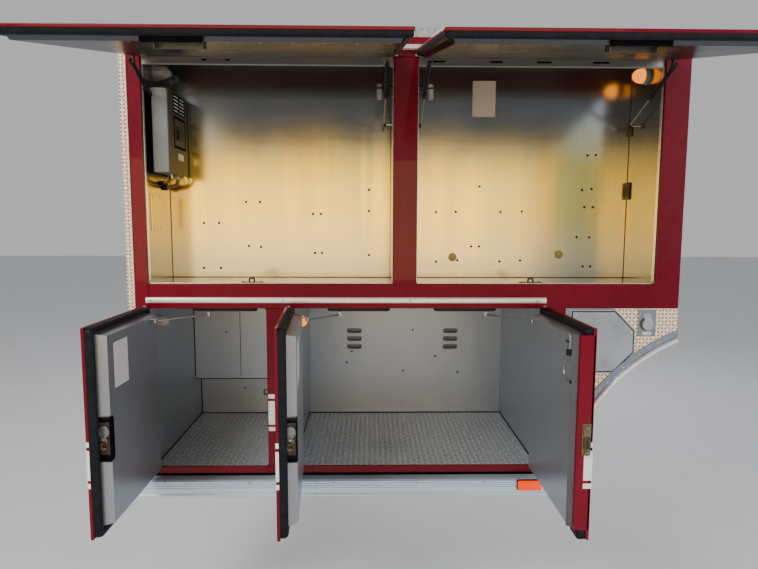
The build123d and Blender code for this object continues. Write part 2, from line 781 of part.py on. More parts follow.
# Electrical box on the front end wall of the upper front locker.
box_z = (upper_z + box_level, upper_z + box_level + box_height)
box_y = (face_y + box_from_face, face_y + box_from_face + box_depth)
box_x = (upper_front_x + box_stand_off, upper_front_x + box_stand_off + box_width)
load_box = block(box_x, box_y, box_z)
cover = block((box_x[1], box_x[1] + box_cover), (box_y[0] - box_cover, box_y[1] + box_cover),
              (box_z[0] - box_cover, box_z[1] + box_cover))
box_stays = [block((upper_front_x, box_x[0]), box_y, (z, z + box_stay))
             for z in (box_z[0] + level for level in box_stay_levels)]
save("electrical_box", union([load_box, cover] + box_stays))


def wall_lamp(x, way, y, z, radius):
    """Dome lamp on an upright wall, its axis along X."""
    tip = x + way * (lamp_stand + radius)
    lamp = rod_between((x, y, z), (tip, y, z), radius)
    rim = lamp.edges().filter_by(GeomType.CIRCLE).sort_by(Axis.X)[-1 if way > 0 else 0]
    return fillet(rim, radius - lamp_crown)


upper_lamp = (face_y + upper_lamp_depth, upper_z + upper_lamp_level)
lower_lamp = (face_y + lower_lamp_depth, lower_top_z - lower_lamp_drop)
save("locker_lamps",
     wall_lamp(upper_front_x, 1, *upper_lamp, lamp_radius),
     wall_lamp(upper_rear_end, -1, *upper_lamp, lamp_radius),
     wall_lamp(lower_front_x, 1, *lower_lamp, lower_lamp_radius),
     wall_lamp(lower_rear_x, 1, *lower_lamp, lower_lamp_radius))


def post_fitting(wall_x, way):
    """Upright capsule on a bracket from an end wall."""
    x = wall_x + way * fitting_inset
    y, z = face_y + fitting_depth, upper_z + fitting_level
    body = rod_between((x, y, z - fitting_height / 2), (x, y, z + fitting_height / 2), fitting_radius)
    arm_x = sorted((wall_x, x))
    arm_top = z + fitting_height / 2 - fitting_arm_drop
    arm = block(arm_x, (y - fitting_arm / 2, y + fitting_arm / 2), (arm_top - fitting_arm_height, arm_top))
    return body + arm


save("post_fittings", post_fitting(upper_front_end, -1), post_fitting(upper_rear_x, 1))
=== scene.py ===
import json
import math
from collections import namedtuple

import bmesh
import bpy
from mathutils import Matrix, Vector


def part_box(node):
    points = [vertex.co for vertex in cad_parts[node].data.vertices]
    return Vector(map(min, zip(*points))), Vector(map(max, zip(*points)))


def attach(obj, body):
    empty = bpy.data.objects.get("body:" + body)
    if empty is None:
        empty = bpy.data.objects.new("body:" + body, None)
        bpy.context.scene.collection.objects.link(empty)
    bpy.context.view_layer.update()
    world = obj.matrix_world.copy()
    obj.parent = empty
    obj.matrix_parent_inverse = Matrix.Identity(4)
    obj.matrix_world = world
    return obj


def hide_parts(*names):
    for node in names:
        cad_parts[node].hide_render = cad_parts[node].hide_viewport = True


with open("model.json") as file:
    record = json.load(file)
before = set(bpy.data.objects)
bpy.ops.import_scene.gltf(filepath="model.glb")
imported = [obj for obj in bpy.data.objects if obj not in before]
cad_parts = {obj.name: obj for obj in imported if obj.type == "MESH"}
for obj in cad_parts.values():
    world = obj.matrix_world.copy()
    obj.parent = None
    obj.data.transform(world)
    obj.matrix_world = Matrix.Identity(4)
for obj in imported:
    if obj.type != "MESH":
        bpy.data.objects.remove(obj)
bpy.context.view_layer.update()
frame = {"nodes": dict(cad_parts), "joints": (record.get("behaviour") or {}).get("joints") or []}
nodes = frame["nodes"]
joints = {j["name"]: j for j in frame["joints"]}
MM = 0.001                                      # forms and places are millimetres, camera and lamps metres
X, Y, Z = Vector((1, 0, 0)), Vector((0, 1, 0)), Vector((0, 0, 1))
LIFTS, LEAVES = ("front", "rear"), ("front", "mid", "rear")
Corner = namedtuple("Corner", "x y z")


# ---------------- points and places
def metres(point):
    return Vector([c * MM for c in point])


def about(middle, half):
    return middle - half, middle + half


def spread(start, end, count):
    """Evenly spaced values, both ends among them."""
    return [start + (end - start) * k / (count - 1) for k in range(count)]


def arc(centre, radius, start, sweep=90, steps=6):
    """Flat points round a centre, angles in degrees."""
    angles = [math.radians(start + sweep * k / steps) for k in range(steps + 1)]
    return [(centre[0] + radius * math.cos(a), centre[1] + radius * math.sin(a)) for a in angles]


def rim_loop(x, z, radius, steps=6):
    """Rectangle with round corners, as flat points."""
    (x0, x1), (z0, z1) = x, z
    middles = ((x1 - radius, z1 - radius), (x0 + radius, z1 - radius),
               (x0 + radius, z0 + radius), (x1 - radius, z0 + radius))
    return [point for k, middle in enumerate(middles) for point in arc(middle, radius, 90 * k, steps=steps)]


def stadium(centre, half_length, radius, steps=8):
    """Outline of a slot with round ends, upright and along X."""
    x, y, z = centre
    return [(u, y, v) for side, start in ((1, -90), (-1, 90))
            for u, v in arc((x + side * half_length, z), radius, start, 180, steps)]


def bend_points(corners, radius, steps=6):
    """Rounds the corners of a path of points."""
    corners = [Vector(c) for c in corners]
    path = [corners[0]]
    for before, corner, after in zip(corners, corners[1:], corners[2:]):
        back, ahead = (before - corner), (after - corner)
        cut = min(radius, back.length * 0.49, ahead.length * 0.49)
        a, b = corner + back.normalized() * cut, corner + ahead.normalized() * cut
        for t in spread(0, 1, steps + 1):
            path.append(a * (1 - t) ** 2 + corner * 2 * t * (1 - t) + b * t * t)
    return path + [corners[-1]]


def frame_at(origin, u, v, n):
    """Place of a form of its own: u, v and n are directions, origin a point in millimetres."""
    place = Matrix.Identity(4)
    for column, values in enumerate((u, v, n, metres(origin))):
        for row in range(3):
            place[row][column] = values[row]
    return place


def along_axis(origin, axis):
    """Place at an origin with its Z along an axis."""
    return Matrix.Translation(metres(origin)) @ Vector(axis).to_track_quat("Z", "Y").to_matrix().to_4x4()


# ---------------- forms
def soften(part, edges, size, steps=2):
    if size > 0:
        bmesh.ops.bevel(part, geom=edges, offset=size * MM, segments=steps, profile=0.5, affect="EDGES")


class Form:
    """Gathers closed forms into one mesh. What its methods take is in millimetres, its mesh in metres."""

    def __init__(self, place=None):
        self.bm = bmesh.new()
        self.place = place or Matrix.Identity(4)

    def take(self, part):
        part.transform(self.place)
        mesh = bpy.data.meshes.new("part")
        part.to_mesh(mesh)
        part.free()
        self.bm.from_mesh(mesh)
        bpy.data.meshes.remove(mesh)
        return self

    def box(self, x, y, z, bevel=0.0, steps=2):
        part = bmesh.new()
        bmesh.ops.create_cube(part, size=1.0)
        low, high = (metres(pick(span) for span in (x, y, z)) for pick in (min, max))
        size, middle = high - low, (high + low) / 2
        for v in part.verts:
            v.co = Vector(c * s for c, s in zip(v.co, size)) + middle
        soften(part, part.edges[:], min(bevel, 0.49 * min(size) / MM), steps)
        return self.take(part)

    def boxes(self, bevel, *rows):
        """Boxes with the same bevel, each row their spans along x, y and z."""
        for x, y, z in rows:
            self.box(x, y, z, bevel)
        return self

    def rod(self, start, end, radius, sides=20, bevel=0.0):
        start, end = Vector(start), Vector(end)
        part = bmesh.new()
        bmesh.ops.create_cone(part, cap_ends=True, segments=sides, radius1=radius * MM, radius2=radius * MM,
                              depth=(end - start).length * MM)
        rims = [e for e in part.edges if len(e.link_faces) == 2 and any(len(f.verts) > 4 for f in e.link_faces)]
        soften(part, rims, bevel)
        part.transform(along_axis((start + end) / 2, end - start))
        return self.take(part)

    def run(self, x, y, z, radius, sides=10, bevel=0.0):
        """Rod along one axis, whose coordinate is a pair; the other two are numbers."""
        start, end = ([c[k] if isinstance(c, tuple) else c for c in (x, y, z)] for k in (0, 1))
        return self.rod(start, end, radius, sides, bevel)

    def lathe(self, origin, axis, profile, sides=12):
        """Turned form: profile is (distance along axis, radius) from one end to the other."""
        part = bmesh.new()
        rings = []
        for along, radius in profile:
            if radius < 1e-6:
                rings.append([part.verts.new(metres((0, 0, along)))])
            else:
                rings.append([part.verts.new(metres((u, v, along)))
                              for u, v in arc((0, 0), radius, 0, 360, sides)[:-1]])
        for low, high in zip(rings, rings[1:]):
            for k in range(sides):
                a, b = low[k % len(low)], low[(k + 1) % len(low)]
                c, d = high[(k + 1) % len(high)], high[k % len(high)]
                corners = list(dict.fromkeys((a, b, c, d)))
                if len(corners) > 2:
                    part.faces.new(corners)
        for ring in (rings[0][::-1], rings[-1]):
            if len(ring) > 1:
                part.faces.new(ring)
        part.transform(along_axis(origin, axis))
        return self.take(part)

    def lathes(self, origins, axis, profile, sides=12):
        for origin in origins:
            self.lathe(origin, axis, profile, sides)
        return self

    def screws(self, origins, axis, radius=4.5, height=2):
        """Low heads of screws or rivets."""
        return self.lathes(origins, axis, [(0, radius), (height * 0.5, radius), (height, radius * 0.55), (height, 0)])

    def loft(self, loops, closed_path=False, bevel=0.0):
        """Skin through equal loops of points: each loop is one section of the form."""
        part = bmesh.new()
        rows = [[part.verts.new(metres(p)) for p in loop] for loop in loops]
        if closed_path:
            rows.append(rows[0])
        else:
            part.faces.new(rows[0][::-1])
            part.faces.new(rows[-1])
        for low, high in zip(rows, rows[1:]):
            for k in range(len(low)):
                j = (k + 1) % len(low)
                part.faces.new((low[k], low[j], high[j], high[k]))
        bmesh.ops.recalc_face_normals(part, faces=part.faces[:])
        soften(part, part.edges[:], bevel)
        return self.take(part)

    def prism(self, outline, along, bevel=0.0):
        """Flat outline of points carried along a vector."""
        return self.loft([outline, [[a + b for a, b in zip(p, along)] for p in outline]], bevel=bevel)

    def tube(self, points, radius, sides=10):
        """Round tube that follows points, with closed ends."""
        points = [Vector(p) for p in points]
        loops, side = [], None
        for k, point in enumerate(points):
            ahead = points[min(k + 1, len(points) - 1)] - points[max(k - 1, 0)]
            ahead.normalize()
            side = side or ahead.orthogonal().normalized()
            side = (side - ahead * side.dot(ahead)).normalized()
            other = ahead.cross(side)
            loops.append([point + side * u + other * v for u, v in arc((0, 0), radius, 0, 360, sides)[:-1]])
        return self.loft(loops)

    def make(self, name, look, body="body", smooth=35.0, replaces=()):
        bmesh.ops.recalc_face_normals(self.bm, faces=self.bm.faces[:])
        mesh = bpy.data.meshes.new(name)
        self.bm.to_mesh(mesh)
        self.bm.free()
        for polygon in mesh.polygons:
            polygon.use_smooth = True
        mesh.set_sharp_from_angle(angle=math.radians(smooth))
        piece = bpy.data.objects.new(name, mesh)
        bpy.context.scene.collection.objects.link(piece)
        mesh.materials.append(look.material)
        even = piece.modifiers.new("even", "WEIGHTED_NORMAL")
        even.keep_sharp = True
        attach(piece, body)
        if replaces:
            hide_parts(*replaces)
        return piece


# ---------------- materials
def tint(base, share):
    return tuple(min(1, c * share) for c in base)


class Look:
    """One procedural material, built from its principled shader outwards."""

    def __init__(self, name, base, metallic=0.0, roughness=0.5, **sockets):
        self.material = bpy.data.materials.new(name)
        self.material.use_nodes = True
        self.tree = self.material.node_tree
        self.shader = self.tree.nodes["Principled BSDF"]
        self.normal = None
        sockets.update(Base_Color=(*base, 1.0), Metallic=metallic, Roughness=roughness)
        for socket, value in sockets.items():
            self.shader.inputs[socket.replace("_", " ")].default_value = value

    def node(self, kind, **settings):
        made = self.tree.nodes.new(kind)
        for key, value in settings.items():
            setattr(made, key, value)
        return made

    def feed(self, node, index, value):
        if hasattr(value, "is_output"):
            self.tree.links.new(value, node.inputs[index])
        else:
            node.inputs[index].default_value = value

    def places(self, scale=1):
        """The piece's own coordinates, in metres times one scale or three."""
        mapping = self.node("ShaderNodeMapping")
        self.feed(mapping, "Scale", scale if isinstance(scale, tuple) else (scale,) * 3)
        self.feed(mapping, "Vector", self.node("ShaderNodeTexCoord").outputs["Object"])
        return mapping.outputs["Vector"]

    def split(self, source):
        made = self.node("ShaderNodeSeparateXYZ")
        self.feed(made, 0, source)
        return made.outputs

    def facing(self):
        return self.split(self.node("ShaderNodeTexCoord").outputs["Normal"])

    def math(self, operation, *values):
        made = self.node("ShaderNodeMath", operation=operation)
        for index, value in enumerate(values):
            self.feed(made, index, value)
        return made.outputs[0]

    def times(self, first, second):
        return self.math("MULTIPLY", first, second)

    def plus(self, first, second):
        return self.math("ADD", first, second)

    def less(self, first, second):
        return self.math("SUBTRACT", first, second)

    def texture(self, kind, output, scale, inputs, **settings):
        made = self.node(f"ShaderNodeTex{kind}", **settings)
        self.feed(made, "Vector", self.places(scale))
        for key, value in inputs.items():
            self.feed(made, key, value)
        return made.outputs[output]

    def noise(self, scale, detail=3.0, roughness=0.55, distortion=0.0):
        return self.texture("Noise", "Fac", scale, {"Scale": 1.0, "Detail": detail, "Roughness": roughness,
                                                    "Distortion": distortion})

    def wave(self, kind, scale, distortion=0.0):
        """Bands across X or rings round it."""
        return self.texture("Wave", "Fac", 1, {"Scale": scale, "Distortion": distortion},
                            wave_type=kind.upper(), **{f"{kind}_direction": "X"})

    def ramp(self, value, low, high, start=0.0, end=1.0):
        made = self.node("ShaderNodeMapRange")
        for index, item in enumerate((value, low, high, start, end)):
            self.feed(made, index, item)
        return made.outputs[0]

    def mix(self, factor, first, second):
        made = self.node("ShaderNodeMix", data_type="RGBA")
        self.feed(made, 0, factor)
        for index, value in ((6, first), (7, second)):
            self.feed(made, index, (*value, 1.0) if isinstance(value, tuple) else value)
        return made.outputs[2]

    def over(self, under, top, mask, strength):
        """One colour over another where a mask shows, at a share of full strength."""
        return self.mix(self.times(mask, strength), under, top)

    def colour(self, source):
        self.feed(self.shader, "Base Color", source)

    def rough(self, source, start, end, low=0.3, high=0.7):
        self.feed(self.shader, "Roughness", self.ramp(source, low, high, start, end))

    def bump(self, height, strength, distance):
        made = self.node("ShaderNodeBump")
        self.feed(made, "Strength", strength)
        self.feed(made, "Distance", distance)
        self.feed(made, "Height", height)
        if self.normal is not None:
            self.feed(made, "Normal", self.normal)
        self.normal = made.outputs["Normal"]
        self.feed(self.shader, "Normal", self.normal)


def red_paint():
    look = Look("red_paint", (0.17, 0.003, 0.013), roughness=0.36, Coat_Weight=0.26, Coat_Roughness=0.03,
                Coat_IOR=1.5, Specular_IOR_Level=0.10)
    dust = look.ramp(look.noise(9, 6, 0.7), 0.55, 0.85)
    deep = look.mix(look.ramp(look.noise(1.6, 4), 0.35, 0.7), (0.135, 0.002, 0.012), (0.185, 0.003, 0.016))
    look.colour(look.over(deep, (0.28, 0.04, 0.045), dust, 0.12))
    look.rough(look.noise(30, 5), 0.24, 0.42, high=0.75)
    look.bump(look.noise(210, 2), 0.06, 0.0006)
    look.bump(look.noise(14, 2), 0.05, 0.002)
    return look


def painted_reflections_by_height(look, metal, base, top):
    """Upper walls, with painted reflections: pale at the foot, golden in streaks of painted warm reflection, another
    tone at the top above them; grey where they face away, without the painted reflections.
    """
    height = look.plus(look.split(look.places())[2], look.times(look.noise((2.2, 2.2, 0.5)), 0.24))
    broad = look.ramp(look.noise((7.5, 7.5, 0.25), 5, 0.6), 0.36, 0.62)
    metal = look.over(metal, (base[0] * 0.62, base[1] * 0.80, base[2] * 1.25), broad, 0.85)
    # golden streaks: a painted warm reflection
    golden_reflection = look.ramp(look.noise((11, 11, 0.4), 2), 0.55, 0.66)
    metal = look.over(metal, (1.0, 0.78, base[2] * 0.7), golden_reflection, 0.8)
    metal = look.mix(look.ramp(height, 0.82, 1.10, 0.9, 0.0), metal, (0.62, 0.60, 0.46))
    metal = look.mix(look.ramp(height, 1.32, 1.58), metal, top)
    forward = look.ramp(look.times(look.facing()[1], -1.0), 0.5, 0.9)
    return look.mix(forward, (0.36, 0.355, 0.33), metal)


def brushed(name, base, rough, grain, stain, streak=0.5, metallic=1.0, top=None, bump=0.06, edge=1.0, scratched=False):
    """Bright sheet: grain is the scale of its brush lines along X, Y and Z, top its tone high up, above the painted
    reflections.
    """
    look = Look(name, base, metallic, sum(rough) / 2, Specular_Tint=(edge, edge, edge, 1.0))
    lines = look.noise(grain, 5, 0.7)
    cloud = look.noise((2.3, 2.3, 1.7), 6, 0.6, 0.4)
    marks = look.ramp(look.noise((16, 16, 11), 8, 0.75), 0.60, 0.85)
    metal = look.mix(look.ramp(cloud, 0.3, 0.72), tint(base, stain), base)
    metal = look.over(metal, tint(base, 0.86), look.ramp(lines, 0.35, 0.7), streak)
    if top:
        metal = painted_reflections_by_height(look, metal, base, top)
    metal = look.over(metal, tint(base, 0.6), marks, 0.25)
    look.rough(look.plus(look.times(lines, 0.5), look.times(cloud, 0.5)), *rough)
    look.bump(lines, bump, 0.0003)
    look.bump(look.noise(4, 1), 0.05, 0.004)
    if scratched:
        level, upright = look.noise((9, 9, 130), 7, 0.8, 0.6), look.noise((150, 150, 10), 6, 0.8)
        where = look.ramp(look.noise(3.1), 0.50, 0.62)
        scratches = look.times(look.ramp(look.math("MAXIMUM", level, upright), 0.66, 0.73), where)
        metal = look.over(metal, (0.13, 0.13, 0.13), scratches, 0.8)
        look.bump(scratches, 0.2, -0.0006)
    look.colour(metal)
    return look


DIAGONAL = 0.7071


def lug_height(look, pitch, plane, slim):
    """Height of raised diamond lugs: long drops that lean one way and the other, cell by cell."""
    split = look.split(look.places(1 / pitch))
    u, v = (split["XYZ".index(axis)] for axis in plane)
    cell = look.plus(look.math("FLOOR", u), look.math("FLOOR", v))
    odd = look.math("MODULO", look.math("ABSOLUTE", cell), 2.0)
    across, up = (look.less(look.math("FRACT", c), 0.5) for c in (u, v))
    lean = look.times(up, look.less(look.times(odd, 2.0), 1.0))
    squares = []
    for way, half in ((look.plus(across, lean), 0.50), (look.less(across, lean), slim)):
        share = look.math("DIVIDE", look.times(way, DIAGONAL), half)
        squares.append(look.math("POWER", look.math("ABSOLUTE", share), 2.0))
    return look.ramp(look.plus(*squares), 0.5, 1.2, 1.0, 0.0)


def tread(name, base, plane, rough=(0.22, 0.42), pitch=0.026, grime=0.5, metallic=1.0, lug_tone=None, ground=0.9,
          slim=0.12):
    """Tread plate: lug_tone is the colour of its lugs, ground the share of base between them."""
    look = Look(name, base, metallic, 0.3)
    lugs = lug_height(look, pitch, plane, slim)
    for axis, across in ((0, "YZ"), (2, "XY")) if plane == "XZ" else ():
        turned = look.ramp(look.math("ABSOLUTE", look.facing()[axis]), 0.5, 0.6)
        lugs = look.plus(look.times(lugs, look.less(1.0, turned)),
                         look.times(lug_height(look, pitch, across, slim), turned))
    dirt = look.ramp(look.noise(6, 7, 0.7), 0.38, 0.68)
    look.colour(look.mix(lugs, look.over(tint(base, ground), tint(base, 0.42), dirt, grime), lug_tone or base))
    dull = look.plus(look.ramp(lugs, 0, 1, rough[1], rough[0]), look.times(dirt, 0.14))
    look.feed(look.shader, "Roughness", dull)
    look.bump(lugs, 0.9, 0.0022)
    look.bump(look.noise(300, 2), 0.10, 0.0004)
    return look


def trim_metal(name, base, rough, grain, metallic=1.0):
    look = Look(name, base, metallic, rough)
    lines = look.noise(grain, 4, 0.7)
    look.colour(look.over(base, tint(base, 0.5), look.ramp(look.noise(70, 4), 0.62, 0.75), 0.4))
    look.rough(lines, rough * 0.75, rough * 1.35)
    look.bump(lines, 0.12, 0.0004)
    return look


def rubber(name, ribs=None):
    look = Look(name, (0.007, 0.009, 0.014), roughness=0.6, Specular_IOR_Level=0.14)
    worn = look.ramp(look.noise(40, 6, 0.7), 0.42, 0.75)
    look.colour(look.mix(worn, (0.005, 0.007, 0.011), (0.014, 0.018, 0.027)))
    look.rough(worn, 0.5, 0.72, 0, 1)
    look.bump(look.noise(260), 0.15, 0.0006)
    if ribs:
        look.bump(look.wave("bands", ribs, 0.4), 0.25, 0.0012)
    return look


def painted(name, base, rough=0.5, grain=220, strength=0.12, metallic=0.0, chips=0.0, shine=0.5):
    """Plain painted or moulded surface with a fine grain and slight wear."""
    look = Look(name, base, metallic, rough, Specular_IOR_Level=shine)
    made = look.mix(look.ramp(look.noise(7, 5), 0.3, 0.75), tint(base, 0.82), tint(base, 1.12))
    if chips:
        made = look.over(made, (0.42, 0.40, 0.36), look.ramp(look.noise(90, 6, 0.8), 0.66, 0.72), chips)
    look.colour(made)
    look.rough(look.noise(60, 4), rough * 0.8, min(1, rough * 1.25))
    look.bump(look.noise(grain, 2), strength, 0.0006)
    return look


def lens(name, base, wave, bump, speckle, tones, socket="Base Color", **sockets):
    """Moulded lens: wave is the kind and scale of its ribs, bump their strength and depth."""
    look = Look(name, base, **sockets)
    look.bump(look.wave(*wave), *bump)
    look.feed(look.shader, socket, look.mix(look.noise(*speckle), *tones))
    return look


def paper(name, base):
    look = Look(name, base, roughness=0.42, Coat_Weight=0.35, Coat_Roughness=0.2)
    look.colour(look.mix(look.noise(14, 6), tint(base, 0.86), base))
    look.bump(look.noise(9), 0.25, 0.002)
    look.rough(look.noise(120), 0.34, 0.56)
    return look


def stripe_tape(name):
    look = Look(name, (0.80, 0.82, 0.84), roughness=0.34, Coat_Weight=0.6, Coat_Roughness=0.1)
    comb = look.texture("Voronoi", "Distance", 1, {"Scale": 340.0}, feature="DISTANCE_TO_EDGE")
    look.colour(look.mix(look.ramp(comb, 0.0, 0.0007), (0.68, 0.70, 0.72), (0.84, 0.86, 0.88)))
    look.rough(look.noise(90, 4), 0.26, 0.44)
    look.bump(look.noise(180), 0.08, 0.0004)
    return look


RED = red_paint()
# Golden base colour: a painted warm reflection, with further painted reflections by height.
UPPER_WALL = brushed("upper_wall", (0.98, 0.71, 0.16), (0.14, 0.25), (5, 5, 300), 0.92, streak=0.25,
                     top=(0.62, 0.68, 0.72), bump=0.03)
SIDE_PAN = brushed("side_pan", (0.36, 0.39, 0.44), (0.26, 0.38), (300, 300, 5), 0.92, streak=0.25, metallic=0.7)
# Near-black base and dimmed edge tint: painted shade on the lift doors' pans, whose undersides face the ground when
# open.
LIFT_PAN = brushed("lift_pan_painted_shade", (0.085, 0.094, 0.112), (0.22, 0.32), (5, 300, 300), 0.86, streak=0.3, bump=0.03,
                   edge=0.65)
LOWER_WALL = brushed("lower_wall", (0.44, 0.50, 0.575), (0.30, 0.44), (240, 240, 5), 0.80, streak=0.4,
                     metallic=0.75, scratched=True)
# White lugs over a darker ground: painted highlights on the lugs.
TREAD_FLOOR = tread("tread_floor", (0.84, 0.92, 1.0), "XY", grime=0.40, metallic=0.5, lug_tone=(1.0, 1.0, 1.0),
                    ground=0.66, slim=0.16)
# Warm pale base at low metalness: a painted warm reflection on the tread plate.
TREAD_FACE = tread("tread_face", (1.0, 0.86, 0.68), "XZ", rough=(0.24, 0.40), pitch=0.0165, grime=0.10,
                   metallic=0.1, lug_tone=(0.30, 0.14, 0.07), ground=1.0, slim=0.17)
TREAD_EDGE = tread("tread_edge", (0.80, 0.81, 0.82), "XZ", rough=(0.14, 0.26), grime=0.2)
RAIL_METAL = brushed("rail_metal", (0.68, 0.85, 0.99), (0.26, 0.34), (3, 300, 300), 0.95, streak=0.15,
                     metallic=0.5, bump=0.02)
DRIP_METAL = trim_metal("drip_metal", (0.98, 0.95, 0.87), 0.26, (4, 160, 160), 0.4)
BRASS = trim_metal("plug_brass", (0.36, 0.27, 0.07), 0.5, 90, 0.3)
STRIKER = painted("dark_zinc", (0.085, 0.066, 0.044), metallic=0.4, shine=0.2)
LATCH_BODY = painted("latch_body", (0.075, 0.070, 0.064), 0.40, metallic=0.4, shine=0.3)
# darker tone for the sloped pan fold: painted shade
PAN_FOLD_SHADE = painted("pan_fold_shade", (0.105, 0.110, 0.130), metallic=0.3, shine=0.3)
HEADER_METAL = trim_metal("header_metal", (0.34, 0.32, 0.29), 0.36, (4, 240, 240), 0.7)
SEAM = painted("corner_seam", (0.10, 0.09, 0.07), metallic=0.5)
BRIGHT = trim_metal("bright_strip", (0.90, 0.87, 0.80), 0.22, (4, 240, 240), 0.75)
ARCH_BRIGHT = trim_metal("arch_bright", (0.92, 0.93, 0.93), 0.20, 60, 0.4)
ARCH_GREY = painted("arch_grey", (0.27, 0.32, 0.40), 0.34, metallic=0.6)
STEEL = trim_metal("zinc_steel", (0.50, 0.49, 0.47), 0.34, 120)
BRONZE = trim_metal("yellow_zinc", (0.19, 0.155, 0.10), 0.46, 90, 0.7)
ROD_STEEL = trim_metal("rod_steel", (0.44, 0.44, 0.43), 0.30, 200)
SEAL = rubber("seal_rubber")
SEAL_RIBBED = rubber("seal_ribbed", ribs=45.0)
BLACK = painted("black_metal", (0.012, 0.012, 0.014), 0.42, chips=0.10, shine=0.25)
# Near-black: the colour of black parts and welds, and painted shade in gaps, slots, holes and a notch.
DARK = painted("dark_gap", (0.005, 0.005, 0.006), 0.8, shine=0.03)
BOX_GREY = painted("box_grey", (0.20, 0.225, 0.225), 0.46, grain=120, strength=0.35)
BOX_DARK = painted("box_cover", (0.085, 0.078, 0.062), 0.46, metallic=0.35, shine=0.3)
PANEL_GREY = painted("panel_grey", (0.41, 0.45, 0.50), 0.34, strength=0.05, metallic=0.5)
CATCH_GREY = painted("catch_grey", (0.27, 0.30, 0.33), 0.34, metallic=0.7)
AMBER = lens("amber_lens", (0.9, 0.06, 0.001), ("bands", 40.0), (0.35, 0.002), (60,),
             ((0.75, 0.025, 0.0005), (0.85, 0.05, 0.001)), roughness=0.34, IOR=1.49, Specular_IOR_Level=0.0,
             Emission_Color=(1.0, 0.075, 0.001, 1.0), Emission_Strength=0.80)
LIT = lens("lit_lens", (0.25, 0.08, 0.015), ("rings", 26.0), (0.4, 0.0015), (26, 2),
           ((1.0, 0.17, 0.004), (1.0, 0.36, 0.020)), "Emission Color", roughness=0.3, Specular_IOR_Level=0.0,
           Emission_Strength=1.9)
UNLIT = lens("clear_lens", (0.40, 0.38, 0.34), ("rings", 26.0), (0.5, 0.0015), (50,),
             ((0.34, 0.31, 0.26), (0.46, 0.43, 0.38)), roughness=0.3, Coat_Weight=0.4, Transmission_Weight=0.2,
             IOR=1.49)
PAPER = paper("blank_paper", (0.56, 0.48, 0.36))
WHITE_LABEL = paper("blank_label", (0.72, 0.73, 0.74))
STRIPE = stripe_tape("white_stripe")
FITTING = painted("fitting_grey", (0.30, 0.29, 0.27), 0.38)
BROWN = painted("brown_loom", (0.30, 0.15, 0.05))


# ---------------- CAD nodes that stay
def dress(name, look, bevel=0):
    """Gives a carried-over node its material and, where its edges show, a small round."""
    piece = nodes[name]
    piece.data.materials.clear()
    piece.data.materials.append(look.material)
    if bevel > 0:
        weld = piece.modifiers.new("weld", "WELD")
        weld.merge_threshold = 0.05 * MM
        rounded = piece.modifiers.new("round", "BEVEL")
        rounded.width = bevel * MM
        rounded.segments = 2
        rounded.limit_method = "ANGLE"
        rounded.angle_limit = math.radians(40)
        rounded.harden_normals = True


DRESSES = [
    (RED, 3.5, "face_frame"), (UPPER_WALL, 0, "upper_front_locker upper_rear_locker"),
    (LOWER_WALL, 0, "lower_front_locker lower_rear_locker"), (TREAD_FLOOR, 0, "lower_floor_plates"),
    (BLACK, 2, "cross_bearers"), (TREAD_EDGE, 2, "deck_plate"), (BRIGHT, 1, "drip_rail"),
    (HEADER_METAL, 1, "header_strips"), (DRIP_METAL, 3, "drip_strip"), (RAIL_METAL, 1, "rub_rail"),
    (AMBER, 0, "marker_lamp"), (TREAD_FACE, 2, "front_trim"), (TREAD_FACE, 0, "fender_panel"),
    (ARCH_GREY, 0, "arch_moulding"), (BLACK, 0, "arch_liner"), (PANEL_GREY, 1, "access_panel"),
    (CATCH_GREY, 2, "fender_catch"), (STEEL, 1, "mounting_rail"), (STEEL, 0, "side_hinges lift_hinges"),
    (BLACK, 1, "check_tracks"), (BRONZE, 1, "strikers"), (BOX_GREY, 2, "electrical_box"),
    (UNLIT, 0, "locker_lamps"), (FITTING, 0, "post_fittings"), (BRONZE, 0, "side_rear_door_latch"),
    (BLACK, 0, "side_front_door_latch side_mid_door_latch lift_front_door_latch lift_rear_door_latch"),
]
for look_used, round_by, node_names in DRESSES:
    for node_name in node_names.split():
        dress(node_name, look_used, round_by)
for side, pan_look in [(f"lift_{end}", LIFT_PAN) for end in LIFTS] + [(f"side_{leaf}", SIDE_PAN) for leaf in LEAVES]:
    dress(f"{side}_door_skin", RED, 3)
    dress(f"{side}_door_pan", pan_look)
    dress(f"{side}_door_seal", SEAL)
for end in LIFTS:
    dress(f"strut_tubes_{end}", BLACK)
    dress(f"strut_rods_{end}", ROD_STEEL)
for leaf in LEAVES:
    dress(f"check_rod_{leaf}", ROD_STEEL)


# ---------------- places
SHEET = 3


def in_mm(point):
    return Corner(*(c / MM for c in point))


def box_mm(node):
    return [in_mm(corner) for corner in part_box(node)]


def opening(node):
    """Inside of a locker node: (x, y, z) spans between its sheets."""
    low, high = box_mm(node)
    return (low.x + SHEET, high.x - SHEET), (low.y, high.y - SHEET), (low.z + SHEET, high.z - SHEET)


FACE = box_mm("face_frame")[0].y
UF_X, UF_Y, UF_Z = opening("upper_front_locker")
UR_X, UR_Y, UR_Z = opening("upper_rear_locker")
LF_X, LF_Y, LF_Z = opening("lower_front_locker")
LR_X, LR_Y, LR_Z = opening("lower_rear_locker")
STEP_Y = FACE + 649
UPPERS = {"front": UF_X, "rear": UR_X}
LEVEL = 134                                   # middle height of the side doors' latches and handles


def face_y(start, end):
    """Span behind the face frame's plane; in front of it where negative."""
    return FACE + start, FACE + end


def pivot(door):
    return in_mm(joints[f"{door}_hinge"]["pos_m"])


def swung(door):
    """Turn from a door's closed place to where it rests."""
    joint = joints[f"{door}_hinge"]
    hinge = Vector(joint["pos_m"])
    turn = Matrix.Rotation(-math.radians(joint["range_deg"][1]), 4, Vector(joint["axis"]))
    return Matrix.Translation(hinge) @ turn @ Matrix.Translation(-hinge)


